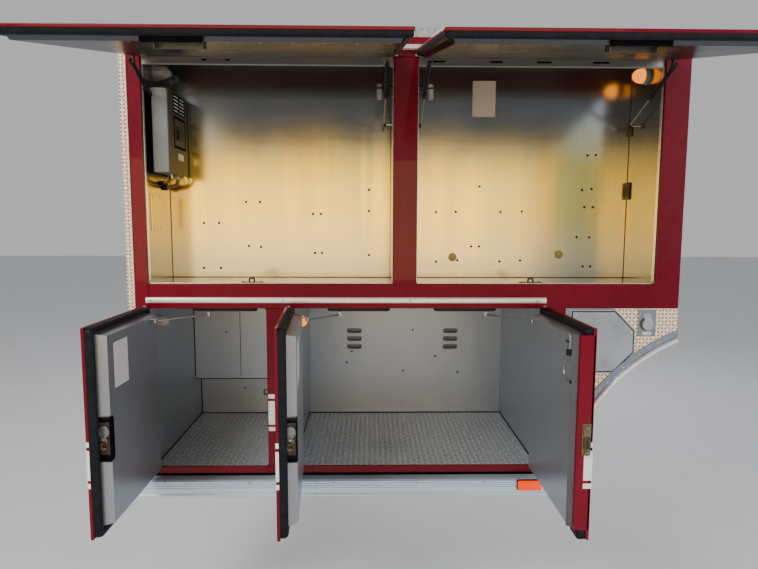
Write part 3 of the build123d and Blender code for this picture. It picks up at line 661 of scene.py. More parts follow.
SKIN_Y = face_y(-46, -34)
SIDE_PAN_Y = face_y(-34, 28)
PAN_Z = (LR_Z[0] + 12, LR_Z[1] - 8)
SKIN_Z = (LR_Z[0] - 24, LR_Z[1] + 16)
SIDE_HINGE = {leaf: pivot(f"side_{leaf}_door").x for leaf in LEAVES}
SIDE_WIDTH = {"front": 542, "mid": 559, "rear": 559}
SIDE_WAY = {"front": 1, "mid": 1, "rear": -1}
LIFT_SKIN_Y = face_y(-33, -23)
LIFT_PAN_Y = face_y(-23, 6)
LIFT_Z = (UF_Z[0] - 18, 1616)
LIFT_PAN_Z = (UF_Z[0] + 8, 1606)
LIFT_LATCH = {"front": -428, "rear": 833}


def door_x(leaf, near, far):
    """Span on a side door, its ends measured from the hinge."""
    return tuple(sorted(SIDE_HINGE[leaf] + SIDE_WAY[leaf] * reach for reach in (near, far)))


# ---------------- door seals
SIDE_BULB, LIFT_BULB = 29, 18             # how far the seals stand off the skins


def seal_section(outer, inner, base, depth):
    """Rounded bulb between an outer and an inner point of a door's rim."""
    shape = [(0.0, 0.0), (0.0, 0.45), (0.05, 0.70), (0.18, 0.90), (0.38, 0.99), (0.60, 0.99),
             (0.80, 0.88), (0.94, 0.66), (1.0, 0.40), (1.0, 0.0)]
    return [(outer[0] + (inner[0] - outer[0]) * t, base + depth * h, outer[1] + (inner[1] - outer[1]) * t)
            for t, h in shape]


def seal_ring(door, outer, inner, base, depth, radius):
    """Bulb seal all round a door: outer and inner are the (x, z) spans of its two rims."""
    rims = zip(rim_loop(*outer, radius), rim_loop(*inner, 4))
    Form(swung(door)).loft([seal_section(o, i, base, depth) for o, i in rims], closed_path=True).make(
        f"{door}_bulb", SEAL, door, smooth=50, replaces=(f"{door}_seal",))


for leaf in ("front", "mid"):
    width = SIDE_WIDTH[leaf]
    seal_ring(f"side_{leaf}_door", (door_x(leaf, 9, width - 2), (SKIN_Z[0] + 2, SKIN_Z[1] - 2)),
              (door_x(leaf, 18, width - 26), PAN_Z), SKIN_Y[1], SIDE_BULB, 22)
for end, (x0, x1) in UPPERS.items():
    seal_ring(f"lift_{end}_door", ((x0 - 13, x1 + 13), (LIFT_Z[0] + 2, LIFT_Z[1] - 5)),
              ((x0 + 8, x1 - 8), LIFT_PAN_Z), LIFT_SKIN_Y[1], LIFT_BULB, 20)


# ---------------- upper lockers
WALL_HOLES = [(-508, 1011), (-439, 1011), (-717, 907), (-643, 907), (-178, 953), (-139, 953), (99, 1072), (99, 969),
              (-498, 794), (-438, 789), (-170, 760), (-135, 760), (-723, 684), (-639, 684), (99, 750),
              (1180, 1245), (1221, 1247), (1159, 1076), (1207, 1081), (1174, 991), (1217, 991), (1141, 842),
              (1205, 841), (647, 1091), (432, 964), (531, 966), (754, 966), (861, 969), (611, 794),
              (650, 794), (435, 717), (543, 725), (755, 719), (859, 724), (1177, 695), (1215, 695)]
WALL_PLUGS = [(518, 740), (1053, 755)]


def on_upper_wall(spots):
    """Places on the back walls of the upper lockers."""
    return [(x, UF_Y[1], z) for x, z in spots]


# Holes in the back walls, near-black inside: painted shade.
Form().lathes(on_upper_wall(WALL_HOLES), -Y, [(0, 6.2), (0.8, 5.8), (1, 3.4), (0.4, 3), (0.4, 0)], 14).make(
    "upper_wall_rivets", DARK)
Form().lathes(on_upper_wall(WALL_PLUGS), -Y, [(0, 21), (2, 21), (4, 16), (4.5, 6), (3, 3), (3, 0)], 24).make(
    "upper_wall_plugs", BRASS)
Form().box((604, 716), (UR_Y[1] - 1.2, UR_Y[1] + 0.4), (1428, 1598), 0.4).make("upper_wall_label", PAPER)

# Folded lips and corner seams.
LIP = 3.5
lip_y = face_y(12.5, 30)
lips, corners = Form(), Form()
for (x0, x1), (z0, z1) in ((UF_X, UF_Z), (UR_X, UR_Z)):
    upright = (z0 + 12, z1 - 100)
    lips.boxes(1.2, ((x0, x1), lip_y, (z0, z0 + LIP)), ((x0, x0 + LIP), lip_y, upright),
               ((x1 - LIP, x1), lip_y, upright))
    for x in (x0, x1):
        corners.run(x, UF_Y[1] - 1, (z0, z1 - 50), 2.4)
    corners.run((x0, x1), UF_Y[1] - 0.6, z0 + 1, 2.2)
lips.make("upper_locker_lips", BRIGHT)
corners.make("upper_locker_corners", SEAM)
wall_x = UR_X[1]
clip = Form().box((wall_x - 10, wall_x), (-546, UF_Y[1] - 1), (1028, 1112), 4)
clip.box((wall_x - 14, wall_x), (-538, -522), (1045, 1095), 5)
clip.box((wall_x - 8, wall_x), (-538, UF_Y[1] - 1), (1335, 1385), 3)
clip.make("upper_wall_clip", SEAM)
wall_x = UF_X[0]
Form().box((wall_x, wall_x + 6), (-775, -665), (872, 1035), 1.8).screws(
    [(wall_x + 6, y, z) for y in (-765, -675) for z in (884, 1023)], X).make("wall_cover_plate", UPPER_WALL)
Form().lathe((wall_x, -560, 1610), X, [(0, 26), (10, 26), (16, 18), (34, 16), (40, 10), (40, 0)], 24).make(
    "round_wall_fitting", FITTING)

# Slots and beads in the strips under the header.
SLOT_SPANS = ((-620, -595), (-518, -497), (361, 426), (620, 676), (824, 889), (1067, 1141))
SLOT_RADIUS = 4
slots, beads = Form(), Form()
for x0, x1 in SLOT_SPANS:
    centre = ((x0 + x1) / 2, FACE + 11.9, 1601)
    slots.prism(stadium(centre, (x1 - x0) / 2 - SLOT_RADIUS, SLOT_RADIUS), (0, -0.6, 0))
for span in UPPERS.values():
    for z in (1583.5, 1616.5):
        beads.run(span, FACE + 11.8, z, 2.2, 8)
# The slots are dark prisms: painted shade in them.
slots.make("header_slots", DARK)
beads.make("header_beads", HEADER_METAL)


# ---------------- locker lamps
def wall_lamp(name, origin, way, radius, lens_look):
    """Round lamp with a domed lens on an end wall; way is the sign of X it faces."""
    axis, rim = X * way, radius * 0.86
    spots = arc(origin[1:], radius * 0.93, 90, 360, 3)[:3]
    Form().lathe(origin, axis, [(0, radius), (10, radius), (16, radius * 0.94), (19, rim), (19, 0)],
                 40).screws([(origin[0] + way * 14, y, z) for y, z in spots], axis, 3).make(
                     f"{name}_base", FITTING)
    dome = [(26 + (4 + radius) * along, rim * share) for share, along in arc((0, 0), 1, 0, steps=10)]
    return Form().lathe(origin, axis, [(18, rim)] + dome, 40).make(f"{name}_lens", lens_look, smooth=60)


LAMPS = [("upper_front_lamp", (UF_X[0], -665, 1588), 1, 38, UNLIT),
         ("upper_rear_lamp", (UR_X[1], -665, 1588), -1, 38, LIT),
         ("lower_front_lamp", (LF_X[0], -748, 455), 1, 32, UNLIT),
         ("lower_rear_lamp", (LR_X[0], -748, 455), 1, 32, LIT)]
lenses = [wall_lamp(*row) for row in LAMPS]
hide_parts("locker_lamps")

# ---------------- capsules on the posts
CAPSULE = [(0, 8.5), (3, 11.5), (9, 13), (43, 13), (43, 10.5), (51, 10.5),
           (51, 13), (60, 12.5), (64, 10.5), (66, 6), (66, 0)]
capsules, bands = Form(), Form()
for wall_x, way in ((UF_X[1], -1), (UR_X[0], 1)):
    x, y, foot, top = wall_x + way * 60, FACE + 62, 1451, 1517
    capsules.lathe((x, y, foot), Z, CAPSULE, 28)
    bands.lathe((x, y, foot), Z, [(43.5, 13.8), (50.5, 13.8)], 28)
    bands.box((wall_x, x), about(y, 2), (top - 12, top - 4), 1)
    bands.run(x - way * 12, y, (top - 8, top - 22), 4, 12, 1)
capsules.make("post_capsules", FITTING, replaces=("post_fittings",))
bands.make("post_capsule_bands", BLACK)

# ---------------- electrical box
box_low, box_high = box_mm("electrical_box")
bx = (box_low.x + 21, box_high.x - 4)
by = (box_low.y + 4, box_high.y - 4)
bz = (box_low.z + 4, box_high.z - 4)
Form().box(bx, by, bz, 5, 3).box((bx[0] - 4, bx[1] - 6), (by[0] - 2, by[0] + 10), (bz[1] - 12, bz[1] + 2), 2).make(
    "electrical_case", BOX_GREY, replaces=("electrical_box",))
Form().boxes(2, *(((UF_X[0], bx[0] + 1), (by[1] - 85, by[1] - 15),
                   (bz[0] + level, bz[0] + level + 24)) for level in (30, 300))).make(
                       "electrical_stays", LATCH_BODY)
front_x = bx[1] + 3.5
Form().box((bx[1], front_x), (by[0] - 3, by[1] + 3), (bz[0] - 3, bz[1] + 3), 1.2).make("electrical_cover", BOX_DARK)


def on_cover(height, y, z):
    """Thin plate on the electrical box's cover."""
    return (front_x, front_x + height), y, z


display_y, skin_x = (-718, -552), front_x - 1
Form().boxes(0.4, ((skin_x, front_x + 0.4), display_y, (1402, 1488)),
             ((skin_x, front_x + 0.5), display_y, (1246, 1390))).screws(
                 [(skin_x, y, z) for y in (by[0] + 12, by[1] - 12) for z in (bz[0] + 12, bz[1] - 12)],
                 X, 4, 1.4).make("electrical_display", DARK)
label_rows = [(y, (z, z + 5.5)) for z in spread(1410, 1473.2, 5) for y in ((-708, -646), (-628, -566))]
Form().boxes(0.2, *(on_cover(0.7, y, z) for y, z in label_rows + [((-664, -590), (1196, 1226))])).make(
    "electrical_labels", WHITE_LABEL)
Form().box(*on_cover(0.8, (-704, -566), (1258, 1378)), 0.4).make("electrical_window", BOX_DARK)
Form().box(*on_cover(10, (-676, -606), (1284, 1336)), 3).box(*on_cover(1.6, (-696, -574), (1342, 1349)), 0.4).make(
    "electrical_switch", BLACK)

# Two cables from glands under the box to bushes in the wall: path, rounding, radius, sides, bush, gland.
CABLES = [([(-800, -625, bz[0] - 1), (-800, -625, 1108), (-815, -600, 1082), (-872, -590, 1076)],
           30, 8.5, 12, 15, 13),
          ([(-812, -668, bz[0] - 1), (-812, -668, 1112), (-850, -640, 1092), (-874, -636, 1092)],
           20, 6, 10, 10, 10)]
loom, bushes, glands = Form(), Form(), Form()
for path, rounding, radius, sides, bush, gland in CABLES:
    (gland_x, gland_y, _), (_, bush_y, bush_z) = path[0], path[-1]
    loom.tube(bend_points(path, rounding), radius, sides)
    bushes.run((UF_X[0], UF_X[0] + 16), bush_y, bush_z, bush, 18, 3)
    glands.lathe((gland_x, gland_y, bz[0] + 1), -Z, [(0, gland), (8, gland), (10, gland * 0.8),
                                                     (20, gland * 0.75), (20, 0)], 6)
glands.box((bx[1] - 30, bx[1] + 2), (by[1] - 60, by[1] - 4), (bz[0] - 3.5, bz[0] + 1), 1)
loom.make("electrical_loom", BROWN)
bushes.make("electrical_bushes", BLACK)
Form().prism([(bx[1] - 4, by[1] - back, bz[0] - drop) for back, drop in ((6, 0), (52, 0), (6, 38))],
             (3, 0, 0), 0.6).make("electrical_gusset", BRIGHT)
glands.make("electrical_glands", STEEL)

# ---------------- lower lockers
back_y = LR_Y[1]
rims, slots = Form(), Form()
for x in (15.5, 573.5):
    for z in (194.4, 241, 287.6):
        rim = stadium((x, back_y - 1.5, z), 29, 12.5, 10)
        rims.tube(rim + rim[:1], 2.8, 8)
        rims.box(about(x, 32), (back_y - 4, back_y), (z + 1, z + 6), 1.5)
        slots.prism(stadium((x, back_y - 0.4, z), 29, 11, 10), (0, -0.8, 0))
rims.make("louvre_rims", CATCH_GREY)
# The louvre slots' dark faces are painted shade inside the slots.
slots.make("louvre_slots", LATCH_BODY)

FLOOR_Z, LEDGE_Z, WALL_TOP = -201, 34, 524
IN = 1                                      # how far a weld stands in from its corner
seams = Form().box((-621, LF_X[1]), (STEP_Y - 1.6, STEP_Y), (46, 520), 0.4)
seams.box(LF_X, (STEP_Y - 3, STEP_Y), (36, 50), 1.2)
for x in LR_X:
    seams.run(x, back_y - IN, (-200, 526), 2.8, 8)
seams.make("lower_wall_seams", LOWER_WALL)
front_corner, upright, ledge_upright = LF_X[0] + IN, (-200, WALL_TOP), (50, WALL_TOP)
WELDS = [(LR_X, back_y - IN, FLOOR_Z, 3.5), (LR_X[1] - IN, (LR_Y[0] + 30, back_y), FLOOR_Z, 3.5),
         (LF_X, LF_Y[1] - IN, FLOOR_Z, 3), (front_corner, (FACE + 30, LF_Y[1]), FLOOR_Z, 3),
         (LR_X[0] + IN, (FACE + 30, back_y), FLOOR_Z, 3),
         (front_corner, LF_Y[1] - IN, (-200, LEDGE_Z), 2.6), (front_corner, STEP_Y - IN, ledge_upright, 2.2),
         (LF_X, STEP_Y - 2.2, LEDGE_Z, 2.4), (-622.5, STEP_Y - 0.6, ledge_upright, 1.6, 8),
         (LR_X[0] + IN, back_y - IN, upright, 2.2), (LR_X[1] - IN, back_y - IN, upright, 2.2)]
welds = Form()
for row in WELDS:
    welds.run(*row)
welds.make("lower_floor_welds", DARK)
REAR_HOLES = [(355, 293), (487, 137), (0, 165), (-30, 100), (300, 50), (620, 40)]
FRONT_HOLES = [(-700, 300), (-560, 240), (-440, 350), (-600, -20)]
# Holes as near-black discs: painted shade in them.
holes = Form()
for spots, y, radius in ((REAR_HOLES, back_y, 6), (FRONT_HOLES, STEP_Y, 5)):
    holes.lathes([(x, y, z) for x, z in spots], -Y, [(0, radius), (1, radius - 1), (1, 0)])
holes.make("lower_wall_holes", DARK)

# Rubber stops at both ends of each check track: hinge, way, start and length of the track.
TRACK_ROWS = [(-884, 1, 205, 264), (-254, 1, 182, 258), (880, -1, 210, 259)]
track_z = box_mm("check_tracks")[0].z
stops = Form()
for hinge_x, way, start, length in TRACK_ROWS:
    for reach in (start, start + length):
        stops.run(hinge_x + way * reach - 4, FACE + 44, (track_z + 2, track_z + 16), 13, 20, 3)
stops.make("check_track_stops", BLACK)

# ---------------- strikers
sill = UF_Z[0]
STRIKER_PLACES = [frame_at((x, 0, sill), X, Y, Z) for x in LIFT_LATCH.values()]
STRIKER_PLACES.append(frame_at((LF_X[1], 0, LEVEL), Z, Y, -X))
# One plate with a loop and two screws: u lies along it, n points off the sheet that carries it.
strikers = Form()
for place in STRIKER_PLACES:
    one = Form(place).box((-53, 53), face_y(36, 60), (0, 5), 1.5)
    loop_y = FACE + 42
    one.tube(bend_points([(-11, loop_y, 4), (-11, loop_y, 21.5), (11, loop_y, 21.5), (11, loop_y, 4)], 7), 4.2, 12)
    one.screws([(u, FACE + 48, 5) for u in (-40, 40)], Z, 5, 3)
    strikers.take(one.bm)
strikers.make("latch_strikers", STRIKER, replaces=("strikers",))

# ---------------- latches and handles
TRAY = 82.5                                   # half length of a latch's pocket
SLAM_DEPTH = 49
ROTOR = [(-17, -6), (-12, -13), (-3, -15), (5, -12), (9, -4), (4, -1), (0, -6), (-6, -7), (-9, -2), (-7, 5),
         (-12, 8), (-17, 2)]
PAWL = [(11, -10), (16, -14), (23, -12), (26, -3), (24, 8), (17, 14), (9, 12), (8, 7), (14, 6), (17, 0), (14, -5)]


def jaws(name, place, scale, jaw_look, pin_look, body):
    """Rotor and pawl of a slam latch in the plane of u and n, facing away from v, and their pins."""
    form, pins = Form(place), Form(place)
    for outline in (ROTOR, PAWL):
        form.prism([(u * scale, 3, n * scale) for u, n in outline], (0, 6, 0), 0.8)
    for u, n in ((-9, -9), (18, 1)):
        pins.run(u * scale, (1, 12), n * scale, 3.6 * scale, 14, 0.8)
    form.make(f"{name}_jaws", jaw_look, body)
    pins.make(f"{name}_pins", pin_look, body)


def tray(place, reach, depth):
    """Pocket of a latch: floor, two ends and a back."""
    return Form(place).boxes(1, ((-TRAY, TRAY), (0, reach), (0, SHEET)),
                             ((-TRAY, SHEET - TRAY), (0, reach), (0, depth)),
                             ((TRAY - SHEET, TRAY), (0, reach), (0, depth)),
                             ((-TRAY, TRAY), (reach - SHEET, reach), (0, depth)))


def pocket_latch(name, place, body):
    """Slam latch in its pocket: u runs along the door's edge, v in from the edge, n out of the pocket."""
    tray(place, 28, SLAM_DEPTH).make(f"{name}_tray", BLACK, body, replaces=(f"{body}_latch",))
    plate = Form(place).box((-60, 60), (12, 16), (3, SLAM_DEPTH - 4), 1.2)
    plate.box((-60, 60), (4, 16), (3, 6), 1)
    plate.screws([(u, 12, n) for u in (-52, 52) for n in (12, SLAM_DEPTH - 14)], -Y, 4, 3)
    plate.make(f"{name}_plate", LATCH_BODY, body)
    # The notch is a dark sheet: painted shade in the cut-out.
    notch = [(-TRAY, -0.4), (TRAY, -0.4), (TRAY, 26), (70, 37), (-70, 37), (-TRAY, 26)]
    Form(place).prism([(u, v, SLAM_DEPTH + 0.8) for u, v in notch], (0, 0, 1)).make(f"{name}_notch", DARK, body)
    cup = [(0, 22.5), (5, 22.5), (7, 20.5), (7, 16.5), (3, 15.5), (3, 0)]
    Form(place).lathe((26, 12, SLAM_DEPTH * 0.5), -Y, cup, 36).make(f"{name}_cup", CATCH_GREY, body)
    jaws(name, place @ frame_at((-22, 0, SLAM_DEPTH * 0.5), X, Y, Z), 1.15, BRONZE, STEEL, body)


def paddle(name, place, body, half_u=66, half_v=56):
    """Outside handle: plate, cup and D-shaped grip; u and v lie in the door's face, n points out."""
    rim = [(u, v, 0) for u, v in rim_loop((-half_u, half_u), (-half_v, half_v), 12, 5)]
    corners = [(u, v, 2) for u in (-half_u + 10, half_u - 10) for v in (-half_v + 10, half_v - 10)]
    Form(place).prism(rim, (0, 0, 2.2), 0.8).screws(corners, Z, 4, 1.4).make(f"{name}_plate", BRIGHT, body)
    cup = [(0, 0.72), (0.9, 0.70), (0.9, 0.62), (0.3, 0.60), (0.3, 0)]
    Form(place).lathe((0, 0, 1.8), Z, [(along, half_v * share) for along, share in cup], 40).make(
        f"{name}_cup", BLACK, body)
    reach = half_v * 0.50
    Form(place).box((-reach * 1.15, reach * 1.15), (-8, 8), (2.2, 3.8), 0.8).tube(
        [(u, v, 3) for u, v in arc((0, 0), reach, 0, 360, 36)], 1, 8).make(f"{name}_grip", STEEL, body)


# ---------------- side doors
STRIPES = [(116, 135), (-6, 104), (-36, -17)]
TAPE_Y = (SKIN_Y[0] - 0.6, SKIN_Y[0] + 0.2)

for leaf in LEAVES:
    body, way, hinge, width = f"side_{leaf}_door", SIDE_WAY[leaf], SIDE_HINGE[leaf], SIDE_WIDTH[leaf]
    turn = swung(body)
    edge_y = (SKIN_Y[0] - 0.4, SKIN_Y[0] + 30 if leaf == "rear" else SKIN_Y[1] - 1)
    tape = Form(turn)
    for stripe in STRIPES:
        tape.boxes(0.2, (door_x(leaf, 12, width + 0.4), TAPE_Y, stripe),
                   (door_x(leaf, width - 0.2, width + 0.6), edge_y, stripe))
    tape.make(f"{body}_stripes", STRIPE, body)
    if leaf != "rear":
        local = frame_at((hinge + way * (width - 26), SKIN_Y[1] + 12, LEVEL), Z, X * -way, Y)
        pocket_latch(f"side_{leaf}_latch", turn @ local, body)
        Form(turn).box(door_x(leaf, 337, 455), (SIDE_PAN_Y[1] - 0.3, SIDE_PAN_Y[1] + 0.8), (306, 474), 0.3).make(
            f"{body}_label", WHITE_LABEL, body)
    if leaf != "mid":
        local = frame_at((hinge + way * (width - 95), SKIN_Y[0], LEVEL), Z, X * way, -Y)
        paddle(f"side_{leaf}_handle", turn @ local, body)
    spots = [(x, SIDE_PAN_Y[1] - 0.3, z) for z in (PAN_Z[0] + 30, PAN_Z[1] - 30)
             for x in spread(*door_x(leaf, 45, width - 60), 7)]
    Form(turn).screws(spots, Y, 3.2, 1.2).make(f"{body}_rivets", STEEL, body)

# ---------------- the rear leaf's own pieces
# Its seal is open on the free side, where the red channel is.
body, hinge, width = "side_rear_door", SIDE_HINGE["rear"], SIDE_WIDTH["rear"]
turn = swung(body)
near_x, far_x, pan_x, mid_x = hinge - 9, hinge - width + 4, hinge - 18, hinge - 300
top_z, foot_z = SKIN_Z[1] - 2, SKIN_Z[0] + 2
outer = ([(far_x, top_z), (mid_x, top_z)] + arc((near_x - 12, top_z - 12), 12, 90)[::-1]
         + arc((near_x - 12, foot_z + 12), 12, 270)[::-1] + [(mid_x, foot_z), (far_x, foot_z)])
inner = ([(far_x, PAN_Z[1]), (mid_x, PAN_Z[1])] + [(pan_x, PAN_Z[1])] * 7 + [(pan_x, PAN_Z[0])] * 7
         + [(mid_x, PAN_Z[0]), (far_x, PAN_Z[0])])
Form(turn).loft([seal_section(o, i, SKIN_Y[1], SIDE_BULB) for o, i in zip(outer, inner)]).make(
    f"{body}_bulb", SEAL_RIBBED, body, smooth=50, replaces=(f"{body}_seal",))
span = door_x("rear", width - 78, width + 0.8)
ends_y = (SKIN_Y[1] + 0.5, SKIN_Y[1] + 33.5)
Form(turn).box(span, ends_y, (PAN_Z[1] - 1, SKIN_Z[1] + 1), 11.5, 5).box(
    span, ends_y, (SKIN_Z[0] - 1, PAN_Z[0] + 1), 11.5, 5).make("side_rear_seal_ends", SEAL_RIBBED, body)

x0, x1 = door_x("rear", width, width + 4)
edge = Form(turn).box((x0, x1), (-877, -845), (88.5, 203.5), 1.2)
edge.box((x0 - 5, x1), (-874, -849), (160, 198), 2)
edge.lathes([(x0 - 2, -861, z) for z in (97, 187)], -X, [(0, 8.5), (6, 8.5), (7.5, 6), (7.5, 0)], 6)
edge.make(f"{body}_striker", BRONZE, body, replaces=(f"{body}_latch",))
Form(turn).tube(bend_points([(x1, -868, 146), (x0 - 8, -868, 146), (x0 - 8, -868, 118),
                             (x1, -868, 118)], 6), 5.2, 12).box(
    (x0 - 6, x1), (-876, -850), (112, 154), 3).make("side_rear_striker_loop", STRIKER, body)
Form(turn).box(door_x("rear", 9, width), SKIN_Y, SKIN_Z, 3).box(
    door_x("rear", width - 22, width), (SKIN_Y[0] + 1, SKIN_Y[1] + 45), PAN_Z, 2.5).make(
        "side_rear_leaf_skin", RED, body, replaces=(f"{body}_skin",))
channel_y, fold_y = SKIN_Y[1] + 44, SIDE_PAN_Y[1] + 1
# A darker sheet over the pan's sloped fold: painted shade, so the fold reads like the pan's face.
FOLD = [(21.2, channel_y), (33.4, fold_y), (35, fold_y), (22.8, channel_y)]
Form(turn).prism([(hinge - width + back, y, PAN_Z[0] + 2) for back, y in FOLD], (0, 0, PAN_Z[1] - PAN_Z[0] - 4)).make(
    "side_rear_pan_fold", PAN_FOLD_SHADE, body)

# Small latch at the top of the pan, its lever and the pull cable that ends in a clip.
lx, ly = hinge - (width - 48), SIDE_PAN_Y[1]
Form(turn).box(about(lx, 11), (ly - 0.5, ly + 12), (462, 515), 3).run(lx, ly + 7, (505, 519), 6, 16, 1).make(
    "side_rear_top_latch", CATCH_GREY, body)
Form(turn).box(about(lx, 9), (ly - 0.5, ly + 15), (438, 461), 3).run(
    about(lx, 13), ly + 13, 490, 3.5, 12, 1).screws(
        [(lx - 10, ly - 0.5, 344)], Y, 7.5, 5).make("side_rear_top_lever", BLACK, body)
PULL = [(4, 440), (20, 420), (52, 405), (66, 375), (50, 350), (15, 340), (-10, 346)]
Form(turn).tube(bend_points([(lx + dx, ly + 1.8, z) for dx, z in PULL], 14), 1.6, 8).make(
    "side_rear_pull_cable", STEEL, body)

# ---------------- lift doors
for end, (x0, x1) in UPPERS.items():
    body, latch_x = f"lift_{end}_door", LIFT_LATCH[end]
    turn = swung(body)
    place = turn @ frame_at((latch_x, LIFT_PAN_Y[0] + 3, LIFT_PAN_Z[0]), X, Z, Y)
    tray(place, 48, 25).box((-TRAY, TRAY), (-6, 8), (3, 29), 1).make(
        f"lift_{end}_latch_tray", DARK, body, replaces=(f"{body}_latch",))
    near, far = (-52, 82) if end == "front" else (-82, 52)
    Form(place).box((near, far), (40, 46), (3, 44), 1.2).boxes(
        1, ((near, near + 4), (10, 46), (3, 44)),
        ((far - 4, far), (10, 46), (3, 44)), ((near, far), (14, 46), (26, 29))).make(
            f"lift_{end}_latch_plate", LATCH_BODY, body)
    jaws(f"lift_{end}_latch", place @ frame_at((0, 34, 30), X, -Z, Y), 0.9, STRIKER, BRONZE, body)
    paddle(f"lift_{end}_handle", turn @ frame_at((latch_x, LIFT_SKIN_Y[0], LIFT_Z[0] + 95), X, -Z, -Y), body)
    spots = [(x, LIFT_PAN_Y[1] - 0.3, z) for z in (LIFT_PAN_Z[0] + 55, LIFT_PAN_Z[1] - 55)
             for x in spread(x0 + 50, x1 - 50, 12)]
    Form(turn).screws(spots, Y, 3.4, 1.2).make(f"{body}_rivets", STEEL, body)


# ---------------- hinges
def knuckles(name, start, end, count, radius=5.8):
    """Row of hinge knuckles with narrow gaps between them."""
    form = Form()
    start, end = Vector(start), Vector(end)
    for k in range(count):
        a, b = start.lerp(end, k / count), start.lerp(end, (k + 1) / count)
        gap = (b - a) * 0.03
        form.rod(a + gap, b - gap, radius, 14, radius * 0.18)
    form.make(name, STEEL)


side_y = pivot("side_front_door").y
low, high = box_mm("side_hinges")
for leaf in LEAVES:
    hinge = SIDE_HINGE[leaf]
    knuckles(f"side_{leaf}_knuckles", (hinge, side_y, low.z), (hinge, side_y, high.z), 26)
lift_y, lift_z = pivot("lift_front_door")[1:]
for end, (x0, x1) in UPPERS.items():
    knuckles(f"lift_{end}_knuckles", (x0 - 15, lift_y, lift_z), (x1 + 15, lift_y, lift_z), 36)

# ---------------- struts
STRUT_X = {"front": (-860, 173), "rear": (343, 1352)}
DOOR_END, POST_END = Vector((0, -977.08, 1553.98)), Vector((0, -580, 1376))
MOUTH = [(0, 9.2), (4, 9.8), (22, 9.8), (26, 8.5), (30, 6)]
NECK = [(0, 6), (4, 9.8), (10, 9.8), (12, 9.2)]
SOCKET = [(0, 6), (2, 11.5), (6, 13), (10, 11.5), (12, 6)]
along = (POST_END - DOOR_END).normalized()
for end, places in STRUT_X.items():
    collars, balls = Form(), Form()
    for x in places:
        start = DOOR_END + X * x
        collars.lathe(start + along * 200, along, MOUTH, 20)
        collars.lathe(start + along * 13, along, NECK, 20)
        balls.lathe(POST_END + X * (x - 6), X, SOCKET, 24)
    collars.make(f"strut_collars_{end}", BLACK, f"strut_tubes_{end}")
    balls.make(f"strut_balls_{end}", BLACK, f"strut_rods_{end}")


# ---------------- drip strip, rub rail and marker
def extrusion(name, look, x, profile, smooth, replaced):
    """Profile of (y, z) points carried along X."""
    Form().loft([[(end, y, z) for y, z in profile] for end in x]).make(name, look, smooth=smooth, replaces=replaced)


low, high = box_mm("drip_strip")
extrusion("drip_strip_round", DRIP_METAL, (low.x, high.x), [
    (high.y, low.z), (low.y + 4, low.z + 1), (low.y + 1, low.z + 6), (low.y, low.z + 13),
    (low.y + 1, high.z - 6), (low.y + 4, high.z - 1), (high.y, high.z)], 60, ("drip_strip",))
Form().screws([(x, low.y + 0.5, low.z + 13) for x in (-865, -282, 283, 853)], -Y, 5.2, 2.6).make(
    "drip_strip_screws", STEEL)

low, high = box_mm("rub_rail")
nose, rail_top = low.y, low.z + 79
BAND = [(4, 0), (0, 3), (0, 11), (4, 14), (4, 17), (1.5, 20), (0, 26), (0, 34),
        (1.5, 40)]                        # lower half of the rail: back from the nose, up from the foot
for rib in (42, 52.5, 63):
    BAND += [(6, rib), (6, rib + 2), (1, rib + 3.5), (1, rib + 8.5)]
extrusion("rub_rail_ribbed", RAIL_METAL, (low.x, high.x),
          [(FACE + 40, low.z)] + [(nose + back, low.z + up) for back, up in BAND] + [
              (nose + 8, rail_top - 3), (nose + 12, rail_top), (FACE + 12, rail_top),
              (FACE + 12, high.z), (FACE + 40, high.z)], 50, ("rub_rail",))
# Dark strip in the gap behind the rail: painted shade.
Form().box((low.x + 1, high.x - 1), face_y(11, 12.5), (rail_top - 1, high.z - 1), 0.3).make("rub_rail_gap", DARK)
Form().screws([(x, nose + 1, rail_top - 11) for x in (-820, -440, -60, 319, 620, 930)], -Y, 5, 2.5).make(
    "rub_rail_screws", STEEL)
low, high = box_mm("marker_lamp")
ribbed = Form().box((low.x + 2, high.x - 2), (low.y, high.y - 6), (low.z + 2, high.z - 2), 12, 5)
for x in spread(low.x + 12, high.x - 12, 9):
    ribbed.run(x, low.y + 1.5, (low.z + 8, high.z - 8), 2.2, 8)
ribbed.make("marker_lens", AMBER, replaces=("marker_lamp",))
Form().box((low.x, high.x), (high.y - 7, high.y), (low.z, high.z), 2).make("marker_base", BLACK)

# ---------------- post stripes
post = Form()
for stripe in STRIPES:
    for x in ((LF_X[1] + 4, LR_X[0] - 12), (LR_X[1] + 12, LR_X[1] + 88)):
        post.box(x, face_y(-0.6, 0.2), stripe, 0.2)
post.make("post_stripes", STRIPE)

# ---------------- fender
low, high = box_mm("access_panel")
corner = 88


def cut_panel(grow):
    """Outline of the access panel, with its corners cut, grown all round."""
    x0, x1, z0, z1 = low.x + 31 - grow, high.x + grow, low.z - grow, high.z - 5 + grow
    c = corner + grow * 0.4
    return [(x, FACE, z) for x, z in ((x0, z1), (x1 - c, z1), (x1, z1 - c), (x1, z0 + c), (x1 - c, z0), (x0 + c, z0),
                                      (x0, z0 + c))]


Form().boxes(0.4, ((low.x - 1, low.x + 40), face_y(-1.4, 0), (low.z - 4, high.z - 12.5)),
             ((low.x - 1, high.x - corner), face_y(-1.4, 0), (high.z - 12, high.z + 12))).make(
                 "access_frame", ARCH_GREY)
Form().box((932, low.x - 1.2), face_y(-1.2, 0.4), (502, high.z + 13), 0.3).make("access_corner", RED)
Form().prism(cut_panel(9), (0, -1.8, 0)).make("access_rim", PANEL_GREY)
